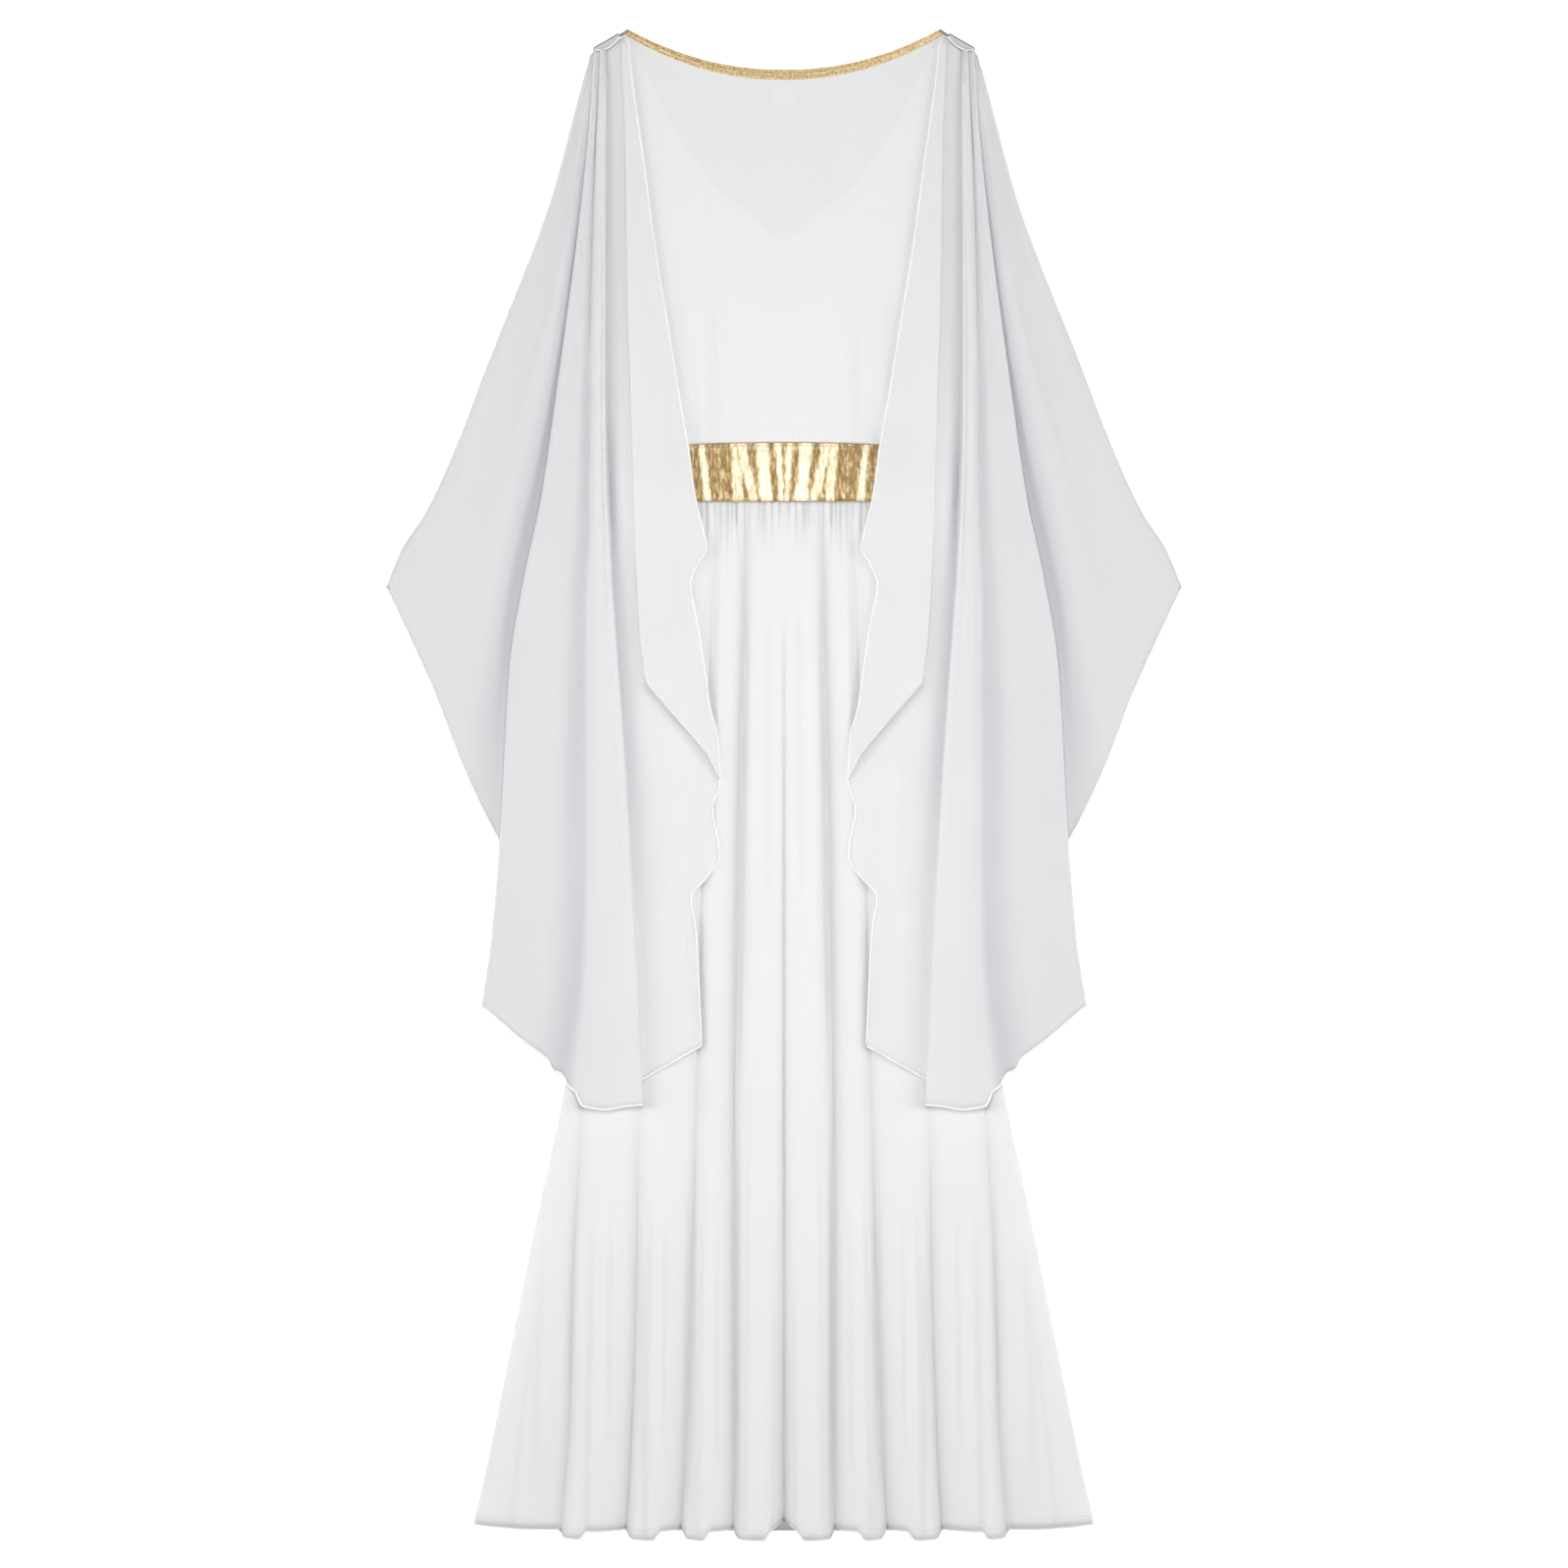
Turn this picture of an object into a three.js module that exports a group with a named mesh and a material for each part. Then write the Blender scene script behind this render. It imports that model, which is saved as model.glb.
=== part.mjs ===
// A long white gown in the Roman style, with a gold waistband, a gold-braided neck and a cape from each
// shoulder. It is laid flat, back side up, and the capes are spread over it and beside it.
// Millimetres. X runs across the gown, +Y towards the neck and +Z up from the surface that it lies on.
// The middle of the length and of the width is the origin.
// "out" is a distance from the centre line and "down" a distance below the shoulder corners.
import * as THREE from 'three';
import { mergeVertices } from 'three/addons/utils/BufferGeometryUtils.js';

// Driving dimensions
const LENGTH = 1463; // shoulder corner to lowest point of the hem
const CLOTH = 1.1; // wall of the gown's and the capes' cloth
const SEAM = 0.3; // space between pieces that are sewn together or lie on each other
const NECK_HALF = 152; // neck corner from the centre line
const NECK_DROP = 39.5; // depth of the shallow back neck
const SHOULDER_TIP = { out: 186, down: 20 };
const BAND_TOP = 400; // upper seam of the waistband
const BAND_DEEP = 57.5; // height of the waistband
const BAND_BOW = { drop: 2.4, out: 95, most: 3.6 }; // its upper seam dips towards the sides
const BAND_WALL = 1.6; // doubled gold cloth over elastic
const BAND_CREASE = 1.3; // height of its creases
const HEM_DOWN = 1455; // level of the hem between its folds
const HEM_LOBE = 7.5; // how far a fold's hem reaches below that
const CENTRE_NOTCH = { half: 14, deep: 13 }; // the hem's rise at the centre fold
const BRAID = { wide: 9.2, thick: 1.3, past: 0.6 };
const BRAID_END = { out: 157.2, down: 7.2 }; // the braid's lower corner on the shoulder seam
const STRIP = { wide: 5.6, thick: 1.4, bow: 1.6, start: 3.4, end: 17.2 };
const LABEL = { wide: 26, deep: 24, thick: 0.9, down: 53 };
const DROP_START = 13; // how far past the gown's side a cape starts down to the table
const DROP_RUN = 24; // and the run over which it comes down
const TUCK = { share: 0.26, least: 1.8, most: 15 }; // how far a cape's cloth doubles back under a fold
const HIDDEN_HEM = { outer: 808, inner: 1026 }; // where the folds hidden under the middle section end
const FLAP_TUCK = 9;
const FLAP_POINT = { down: 700, out: 75.5 }; // where the flap's hem turns at its lower point
const CLEAR = 0.7; // space under a cape's lowest cloth
const FRONT_TOP = CLOTH; // the front panels lie on the table
const BACK_MID = FRONT_TOP + SEAM + CLOTH / 2;
const BACK_TOP = BACK_MID + CLOTH / 2;

// Half width of the bodice, from the shoulder tip round the armhole to the waist
const BODICE_SIDE = [
  { down: 20, half: 186 },
  { down: 60, half: 172 },
  { down: 110, half: 166 },
  { down: 165, half: 174 },
  { down: 215, half: 196 },
  { down: 270, half: 187 },
  { down: 330, half: 163 },
  { down: 400, half: 141 },
];

// Upper edge of the front bodice, a V
const FRONT_NECK = [
  { out: 0, down: 210 },
  { out: 30, down: 180 },
  { out: 62, down: 156 },
  { out: 84, down: 130 },
  { out: 99, down: 108 },
  { out: 120, down: 70 },
  { out: 134, down: 38 },
  { out: 152, down: 0 },
];

// Half width of the skirt
const SKIRT_SIDE = [
  { down: 457, half: 140 },
  { down: 560, half: 151 },
  { down: 700, half: 168 },
  { down: 850, half: 187 },
  { down: 1024, half: 212 },
  { down: 1159, half: 240 },
  { down: 1349, half: 278 },
  { down: 1434, half: 296 },
  { down: 1449, half: 300 },
  { down: 1463, half: 301 },
];

// The skirt's folds on each side of the centre: distance out to the trough after each of the first
// four folds. The fifth fold ends at the side seam.
const TROUGHS = [
  { down: 457, first: 36, second: 66, third: 95, fourth: 118 },
  { down: 598, first: 40, second: 72, third: 106, fourth: 134 },
  { down: 712, first: 43, second: 76, third: 115, fourth: 150 },
  { down: 826, first: 45, second: 80, third: 125, fourth: 164 },
  { down: 940, first: 47, second: 83, third: 134, fourth: 180 },
  { down: 1054, first: 48, second: 85, third: 141, fourth: 196 },
  { down: 1254, first: 48, second: 90.5, third: 144, fourth: 206 },
  { down: 1340, first: 48, second: 93.5, third: 147, fourth: 208 },
  { down: 1425, first: 48.5, second: 98, third: 151, fourth: 214 },
  { down: 1463, first: 50, second: 101, third: 154, fourth: 217 },
];

// How high each fold stands. The capes press the outer ones down.
const CRESTS = [
  { down: 457, first: 1.5, second: 1.2, third: 1, fourth: 1, fifth: 0.8 },
  { down: 560, first: 7.5, second: 3, third: 1.6, fourth: 1.4, fifth: 1 },
  { down: 800, first: 12, second: 5, third: 2.4, fourth: 2, fifth: 1.4 },
  { down: 1030, first: 13.5, second: 6, third: 3, fourth: 2.6, fifth: 2 },
  { down: 1120, first: 14, second: 9, third: 7, fourth: 6, fifth: 5 },
  { down: 1250, first: 15, second: 13.5, third: 12, fourth: 10.5, fifth: 8 },
  { down: 1463, first: 18, second: 17, third: 16, fourth: 14, fifth: 10 },
];

// Where each fold's crest lies between its two troughs, and how broad the crests are: less is broader
const CREST_AT = [0.52, 0.6, 0.6, 0.5, 0.5];
const CREST_ROUND = 0.85;

// How deep the first two folds part at the centre line, as a share of their height
const CENTRE_CUT = [
  { down: 457, cut: 0.4 },
  { down: 620, cut: 0.14 },
  { down: 900, cut: 0.2 },
  { down: 1150, cut: 0.5 },
  { down: 1350, cut: 1 },
];

// Grooves between the small gathers under the waistband, from the centre out
const GATHERS = [0, 20, 38, 46.5, 55, 61, 67.5, 76, 83, 92, 101, 111, 121, 131, 140];
const GATHER = { high: 2.1, run: 62 };

// Creases across the waistband: where each stands at the upper and lower seam, and its half width
const CREASES = [
  { top: 4.5, bottom: 0.6, half: 4 },
  { top: 18.5, bottom: 16.5, half: 4.2 },
  { top: 38, bottom: 28.5, half: 5 },
  { top: 45, bottom: 47, half: 4 },
  { top: 77, bottom: 72, half: 5 },
  { top: 93, bottom: 89, half: 5 },
  { top: 108, bottom: 106, half: 5 },
  { top: 124, bottom: 122, half: 5 },
];

// Lines that run down a cape, each from its top to its own end at the hem
const OUTER_EDGE = [
  { down: 25.5, out: 188 },
  { down: 66, out: 199.5 },
  { down: 124, out: 214.7 },
  { down: 170, out: 228 },
  { down: 332, out: 290.7 },
  { down: 395, out: 314.5 },
  { down: 468, out: 347.7 },
  { down: 503, out: 370.5 },
  { down: 540, out: 386 },
];
const OUTER_FOLD = [
  { down: 24.5, out: 184 },
  { down: 97, out: 189 },
  { down: 200, out: 200 },
  { down: 333, out: 218 },
  { down: 451, out: 235 },
  { down: 536, out: 253 },
  { down: 617, out: 266 },
  { down: 775, out: 275 },
  { down: 884, out: 284 },
  { down: 948, out: 293.6 },
];
const MIDDLE_TROUGH = [
  { down: 22, out: 179 },
  { down: 200, out: 186 },
  { down: 370, out: 189 },
  { down: 484, out: 191 },
  { down: 560, out: 195 },
  { down: 770, out: 196 },
  { down: 884, out: 198 },
  { down: 940, out: 202 },
  { down: 998, out: 211 },
  { down: 1018, out: 213 },
];
const INNER_FOLD = [
  { down: 19.5, out: 173.5 },
  { down: 63, out: 171.5 },
  { down: 370, out: 171 },
  { down: 504, out: 166.3 },
  { down: 595, out: 160 },
  { down: 688, out: 153.3 },
  { down: 865, out: 143.5 },
  { down: 1042, out: 136.8 },
];
const INNER_EDGE = [
  { down: 13, out: 150 },
  { down: 200, out: 139 },
  { down: 370, out: 118 },
  { down: 536, out: 106 },
  { down: 640, out: 92 },
  { down: 700, out: 68.5 },
  { down: 727, out: 61.8 },
  { down: 756, out: 69.4 },
  { down: 788, out: 63.7 },
  { down: 803, out: 62.7 },
  { down: 822, out: 75 },
  { down: 842, out: 90.3 },
  { down: 872, out: 85.5 },
  { down: 922, out: 82.7 },
  { down: 985, out: 80 },
];
// The loose flap on top of the cape's inner side: its folded edge and its free edge
const FLAP_FOLD = [
  { down: 17, out: 158 },
  { down: 109, out: 154.5 },
  { down: 200, out: 153.9 },
  { down: 370, out: 148.7 },
  { down: 477, out: 145.4 },
  { down: 584, out: 140.6 },
  { down: 632, out: 134.9 },
];
const FLAP_EDGE = [
  { down: 13, out: 150.5 },
  { down: 41, out: 148.2 },
  { down: 84, out: 142.5 },
  { down: 137, out: 134.9 },
  { down: 200, out: 126.7 },
  { down: 285, out: 113 },
  { down: 371, out: 98.8 },
  { down: 401, out: 93.4 },
  { down: 450, out: 86.7 },
  { down: 490, out: 77.3 },
  { down: 502, out: 74.7 },
  { down: 517, out: 82.7 },
  { down: 536, out: 90.7 },
  { down: 575, out: 84 },
  { down: 627, out: 76 },
  { down: 655, out: 72.2 },
  { down: 688, out: 64 },
  { down: 714, out: 62.7 },
  { down: 727, out: 61.8 },
];

// Heights of a cape's cloth over what it lies on, from its shoulder to its hem
const LIFTS = [
  { at: 0, low: 0.55, pitch: 1.5, fold: 4.2, shoulder: 3.8, trough: 3, crest: 4.6, inner: 4.2 },
  { at: 0.12, low: 0.55, pitch: 2.2, fold: 8, shoulder: 7, trough: 2.6, crest: 8.5, inner: 7.6 },
  { at: 0.4, low: 0.55, pitch: 2.4, fold: 11, shoulder: 9, trough: 1.8, crest: 12, inner: 9 },
  { at: 0.75, low: 0.55, pitch: 2.4, fold: 10.5, shoulder: 9.5, trough: 1.8, crest: 13, inner: 9.5 },
  { at: 1, low: 0.55, pitch: 2.4, fold: 9, shoulder: 11, trough: 2.4, crest: 14, inner: 10 },
];
// Soft ridges of the cape's outer section: place between its edge (0) and its hidden fold (1)
const OUTER_RIDGES = [
  { place: 0.1, half: 0.13, top: 0.3, middle: 2.4, hem: 3 },
  { place: 0.58, half: 0.29, top: 0.6, middle: 7.5, hem: 5.5 },
];
// Reach of the middle section's hem past a straight line, from its outer fold (0) to its inner (1)
const HEM_REACH = [
  { across: 0, reach: 0 },
  { across: 0.25, reach: -3 },
  { across: 0.4, reach: -6 },
  { across: 0.43, reach: 0 },
  { across: 0.49, reach: -4 },
  { across: 0.52, reach: 4 },
  { across: 0.58, reach: 8 },
  { across: 0.61, reach: 19 },
  { across: 0.75, reach: 16 },
  { across: 0.9, reach: 6 },
  { across: 1, reach: 0 },
];
const OUTER_HEM = { bulge: 6, place: 0.72, half: 0.4 };

const clamp = (value, low, high) => Math.min(high, Math.max(low, value));
const mix = (a, b, f) => a + (b - a) * f;
const ease = (f) => {
  const c = clamp(f, 0, 1);
  return c * c * (3 - 2 * c);
};
const bump = (x) => (Math.abs(x) < 1 ? Math.cos((x * Math.PI) / 2) ** 2 : 0);
const steepening = (f) => f ** 1.7;
const rounding = (f) => Math.sin((f * Math.PI) / 2) ** 0.75;

// Value of a table's column at a place, on a smooth curve that doesn't overshoot its rows
function along(rows, column, place, by = 'down') {
  const last = rows.length - 1;
  const x = clamp(place, rows[0][by], rows[last][by]);
  let i = 0;
  while (i < last - 1 && x > rows[i + 1][by]) i += 1;
  const slope = (k) => (rows[k + 1][column] - rows[k][column]) / (rows[k + 1][by] - rows[k][by]);
  const tangent = (k) => {
    if (k === 0) return slope(0);
    if (k === last) return slope(last - 1);
    const before = slope(k - 1);
    const after = slope(k);
    return before * after <= 0 ? 0 : (2 * before * after) / (before + after);
  };
  const step = rows[i + 1][by] - rows[i][by];
  const t = (x - rows[i][by]) / step;
  const rise = rows[i + 1][column] - rows[i][column];
  const curl = (tangent(i) * (1 - t) - tangent(i + 1) * t) * step + rise * (2 * t - 1);
  return rows[i][column] + rise * t + t * (1 - t) * curl;
}

const yOf = (down) => LENGTH / 2 - down;

// A closed body from an upper and a lower layer of rows. Rows may differ in their number of points:
// each point carries "key", its place along the row, and neighbouring rows are joined by those keys.
function closedWall(upper, lower) {
  const positions = [];
  const index = [];
  const place = (row) => row.map((p) => positions.push(p.x, p.y, p.z) / 3 - 1);
  const tops = upper.map(place);
  const bottoms = lower.map(place);
  const face = (a, b, c, turned) => (turned ? index.push(a, c, b) : index.push(a, b, c));
  const zip = (ids, rows, j, turned) => {
    let a = 0;
    let b = 0;
    while (a < ids[j].length - 1 || b < ids[j + 1].length - 1) {
      const nextA = a < ids[j].length - 1 ? rows[j][a + 1].key : Infinity;
      const nextB = b < ids[j + 1].length - 1 ? rows[j + 1][b + 1].key : Infinity;
      if (nextA <= nextB) {
        face(ids[j][a], ids[j + 1][b], ids[j][a + 1], turned);
        a += 1;
      } else {
        face(ids[j][a], ids[j + 1][b], ids[j + 1][b + 1], turned);
        b += 1;
      }
    }
  };
  for (let j = 0; j < tops.length - 1; j += 1) {
    zip(tops, upper, j, false);
    zip(bottoms, lower, j, true);
  }
  const rim = (top, bottom) => {
    for (let i = 0; i < top.length - 1; i += 1) {
      index.push(top[i], top[i + 1], bottom[i + 1]);
      index.push(top[i], bottom[i + 1], bottom[i]);
    }
  };
  rim(tops[0], bottoms[0]);
  rim([...tops[tops.length - 1]].reverse(), [...bottoms[bottoms.length - 1]].reverse());
  rim(tops.map((r) => r[0]).reverse(), bottoms.map((r) => r[0]).reverse());
  rim(tops.map((r) => r[r.length - 1]), bottoms.map((r) => r[r.length - 1]));
  const geometry = new THREE.BufferGeometry();
  geometry.setAttribute('position', new THREE.Float32BufferAttribute(positions, 3));
  geometry.setIndex(index);
  return faceOut(geometry);
}

// Turns a closed body's faces outwards
function faceOut(geometry) {
  const p = geometry.getAttribute('position');
  const index = geometry.getIndex().array;
  const a = new THREE.Vector3();
  const b = new THREE.Vector3();
  const c = new THREE.Vector3();
  let volume = 0;
  for (let i = 0; i < index.length; i += 3) {
    a.fromBufferAttribute(p, index[i]);
    b.fromBufferAttribute(p, index[i + 1]);
    c.fromBufferAttribute(p, index[i + 2]);
    volume += a.dot(b.cross(c));
  }
  if (volume < 0) {
    for (let i = 0; i < index.length; i += 3) {
      const keep = index[i];
      index[i] = index[i + 1];
      index[i + 1] = keep;
    }
  }
  geometry.computeVertexNormals();
  return geometry;
}

function mirrored(geometry) {
  const copy = geometry.clone();
  copy.scale(-1, 1, 1);
  return faceOut(copy);
}

// A wall whose middle surface is z = height(x, down), over rows of { x, down, key }
function heightWall(rows, height, thick) {
  const layer = (side) =>
    rows.map((row) =>
      row.map(({ x, down, key }) => {
        const dx = height(x + 0.5, down) - height(x - 0.5, down);
        const dy = height(x, down - 0.5) - height(x, down + 0.5);
        const half = (side * thick) / 2;
        const size = Math.hypot(dx, dy, 1);
        return {
          x: x - (dx / size) * half,
          y: yOf(down) - (dy / size) * half,
          z: height(x, down) + half / size,
          key,
        };
      }),
    );
  return closedWall(layer(1), layer(-1));
}

// A wall about a grid of middle points, along the grid's own normals
function foldedWall(grid, thick) {
  const at = (j, i) => grid[clamp(j, 0, grid.length - 1)][clamp(i, 0, grid[0].length - 1)];
  const layer = (side) =>
    grid.map((row, j) =>
      row.map((p, i) => {
        const across = new THREE.Vector3().subVectors(at(j, i + 1), at(j, i - 1));
        const down = new THREE.Vector3().subVectors(at(j + 1, i), at(j - 1, i));
        const n = across.cross(down).normalize().multiplyScalar((side * thick) / 2);
        return { x: p.x + n.x, y: p.y + n.y, z: p.z + n.z, key: i };
      }),
    );
  return closedWall(layer(1), layer(-1));
}

const steps = (count) => Array.from({ length: count + 1 }, (_, i) => i / count);
const twoSided = (list) => [...list.slice(1).map((v) => -v).reverse(), ...list];

// Bodice
const backNeck = (out) => {
  if (out <= NECK_HALF) return NECK_DROP * (1 - (out / NECK_HALF) ** 2.1);
  return ((out - NECK_HALF) / (SHOULDER_TIP.out - NECK_HALF)) * SHOULDER_TIP.down;
};
const frontNeck = (out) => (out <= NECK_HALF ? along(FRONT_NECK, 'down', out, 'out') : backNeck(out));
const bodiceHalf = (down) => along(BODICE_SIDE, 'half', down);
const bandTop = (x) => BAND_TOP + Math.min(BAND_BOW.drop * (x / BAND_BOW.out) ** 2, BAND_BOW.most);

function bodiceRows(neck, places, rowCount) {
  return steps(rowCount).map((v) => {
    const sideDown = mix(SHOULDER_TIP.down, BAND_TOP - SEAM, v);
    const half = bodiceHalf(sideDown);
    return places.map((place) => {
      const top = neck(Math.abs(place));
      const x = (place / SHOULDER_TIP.out) * half;
      const end = bandTop((place / SHOULDER_TIP.out) * bodiceHalf(BAND_TOP)) - SEAM;
      return { x, down: mix(top, end, v), key: place };
    });
  });
}

const backBodiceHeight = (x, down) => {
  const soft = 2.2 * bump((Math.abs(x) - 68) / 13) * ease((down - 250) / 130);
  const middle = 1.2 * bump(x / 26) * ease((down - 300) / 90);
  return BACK_MID + soft + middle;
};

// Skirt
const skirtHalf = (down) => along(SKIRT_SIDE, 'half', down);
const FOLD_NAMES = ['first', 'second', 'third', 'fourth', 'fifth'];
const troughOut = (i, down) => {
  if (i === 0) return 0;
  if (i === FOLD_NAMES.length) return skirtHalf(down);
  return along(TROUGHS, FOLD_NAMES[i - 1], down);
};
const foldAt = (out, down) => {
  let i = 0;
  while (i < FOLD_NAMES.length - 1 && out > troughOut(i + 1, down)) i += 1;
  const near = troughOut(i, down);
  const f = clamp((out - near) / (troughOut(i + 1, down) - near), 0, 1);
  return { i, f };
};
const crest = (i, f) => {
  const side = f < CREST_AT[i] ? f / CREST_AT[i] : (1 - f) / (1 - CREST_AT[i]);
  return Math.sin((side * Math.PI) / 2) ** CREST_ROUND;
};
const foldShare = (i, f, down) => {
  if (i > 0 || f > CREST_AT[0]) return crest(i, f);
  return 1 - along(CENTRE_CUT, 'cut', down) * (1 - crest(i, f));
};
const gatherHeight = (out, down) => {
  let g = 0;
  while (g < GATHERS.length - 2 && out > GATHERS[g + 1]) g += 1;
  const f = clamp((out - GATHERS[g]) / (GATHERS[g + 1] - GATHERS[g]), 0, 1);
  const wide = clamp((GATHERS[g + 1] - GATHERS[g]) / 9, 0.7, 1.3);
  const run = GATHER.run * (g % 3 === 0 ? 1 : 0.62);
  return GATHER.high * wide * Math.sin(Math.PI * f) * (1 - ease((down - BAND_TOP - BAND_DEEP) / run));
};
const skirtHeight = (x, down) => {
  const out = Math.abs(x);
  const { i, f } = foldAt(out, down);
  const stand = along(CRESTS, FOLD_NAMES[i], down) * foldShare(i, f, down);
  return BACK_MID + stand + gatherHeight(out, down);
};
const hemOf = (out) => {
  const { i, f } = foldAt(out, HEM_DOWN);
  if (i === FOLD_NAMES.length - 1) return mix(HEM_DOWN - 1, 1449.5, f ** 1.3);
  const notch = CENTRE_NOTCH.deep * (1 - ease(out / CENTRE_NOTCH.half));
  return HEM_DOWN + HEM_LOBE * ease(crest(i, f) * 1.4) - notch;
};

function skirtRows() {
  const top = BAND_TOP + BAND_DEEP + SEAM;
  const folds = [0];
  FOLD_NAMES.forEach((_, i) => steps(4).slice(1).forEach((f) => folds.push(i + f)));
  const fine = [0];
  GATHERS.slice(1).forEach((g, i) => {
    [1 / 3, 2 / 3, 1].forEach((f) => fine.push(mix(GATHERS[i], g, f)));
  });
  const keyOf = (x, down) => {
    const { i, f } = foldAt(Math.abs(x), down);
    return Math.sign(x) * (i + f);
  };
  const gathered = [0, 14, 32, 56].map((below) => {
    const down = top + below;
    const wider = skirtHalf(down) / skirtHalf(top);
    return twoSided(fine).map((place) => {
      const x = place * wider;
      return { x, down, key: keyOf(x, down) };
    });
  });
  const levels = [590, 680, 780, 880, 970, 1045, 1105, 1170, 1240, 1310, 1380, 1430, HEM_DOWN];
  const folded = levels.map((level) =>
    twoSided(folds).map((key) => {
      const i = Math.min(Math.floor(Math.abs(key)), FOLD_NAMES.length - 1);
      const out = mix(troughOut(i, level), troughOut(i + 1, level), Math.abs(key) - i);
      const share = ease((level - 1100) / (HEM_DOWN - 1100));
      const hemOut = mix(troughOut(i, HEM_DOWN), troughOut(i + 1, HEM_DOWN), Math.abs(key) - i);
      return { x: Math.sign(key) * out, down: level + share * (hemOf(hemOut) - HEM_DOWN), key };
    }),
  );
  return [...gathered, ...folded];
}

// Waistband
const bandHeight = (x, down) => {
  const out = Math.abs(x);
  const f = clamp((down - BAND_TOP) / BAND_DEEP, 0, 1);
  const raise = CREASES.reduce((most, crease) => {
    const at = mix(crease.top, crease.bottom, f);
    return Math.max(most, bump((out - at) / crease.half));
  }, 0);
  return FRONT_TOP + SEAM + BAND_WALL / 2 + 0.1 + BAND_CREASE * raise * Math.sin(Math.PI * clamp(f, 0.12, 0.88));
};

function bandRows(places, levels) {
  return levels.map((f) => {
    const bottom = BAND_TOP + BAND_DEEP;
    return places.map((place) => ({ x: place, down: mix(bandTop(place), bottom, f), key: place }));
  });
}

// What the capes lie on: the gown's highest points, then the table beyond its sides
const gownHalf = (down) => (down < BAND_TOP ? bodiceHalf(Math.max(down, 20)) : skirtHalf(Math.max(down, 457)));
const gownTop = (out, down) => {
  const band = 2.6 * bump((down - BAND_TOP - BAND_DEEP / 2) / 62);
  const start = ease((down - BAND_TOP - BAND_DEEP + 55) / 50);
  const bodice = 2.2 * ease((110 - out) / 40) * ease((down - 240) / 60) * (1 - start);
  const { i, f } = foldAt(out, down);
  const own = along(CRESTS, FOLD_NAMES[i], down);
  const next = along(CRESTS, FOLD_NAMES[Math.min(i + 1, 4)], down);
  const before = along(CRESTS, FOLD_NAMES[Math.max(i - 1, 0)], down);
  const spread = f < 0.5 ? mix(before, own, ease(f * 2 + 0.4)) : mix(own, next, 0);
  const gathers = 2.6 * (1 - ease((down - BAND_TOP - BAND_DEEP) / (GATHER.run * 1.4)));
  return BACK_TOP + (Math.max(own, spread) + gathers) * start + band + bodice;
};
const ground = (out, down) => {
  const beyond = (out - gownHalf(down) - DROP_START) / DROP_RUN;
  return (gownTop(Math.min(out, gownHalf(down)), down) + CLEAR) * (1 - ease(beyond));
};

// Cape
const onLine = (line, v) => {
  const down = mix(line[0].down, line[line.length - 1].down, v);
  return { down, out: along(line, 'out', down) };
};
const hiddenFold = (line, v, end, shift) => {
  const down = mix(line[0].down, end, v);
  return { down, out: along(line, 'out', down) + shift };
};
const between = (a, b, f) => ({ down: mix(a.down, b.down, f), out: mix(a.out, b.out, f) });

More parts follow.
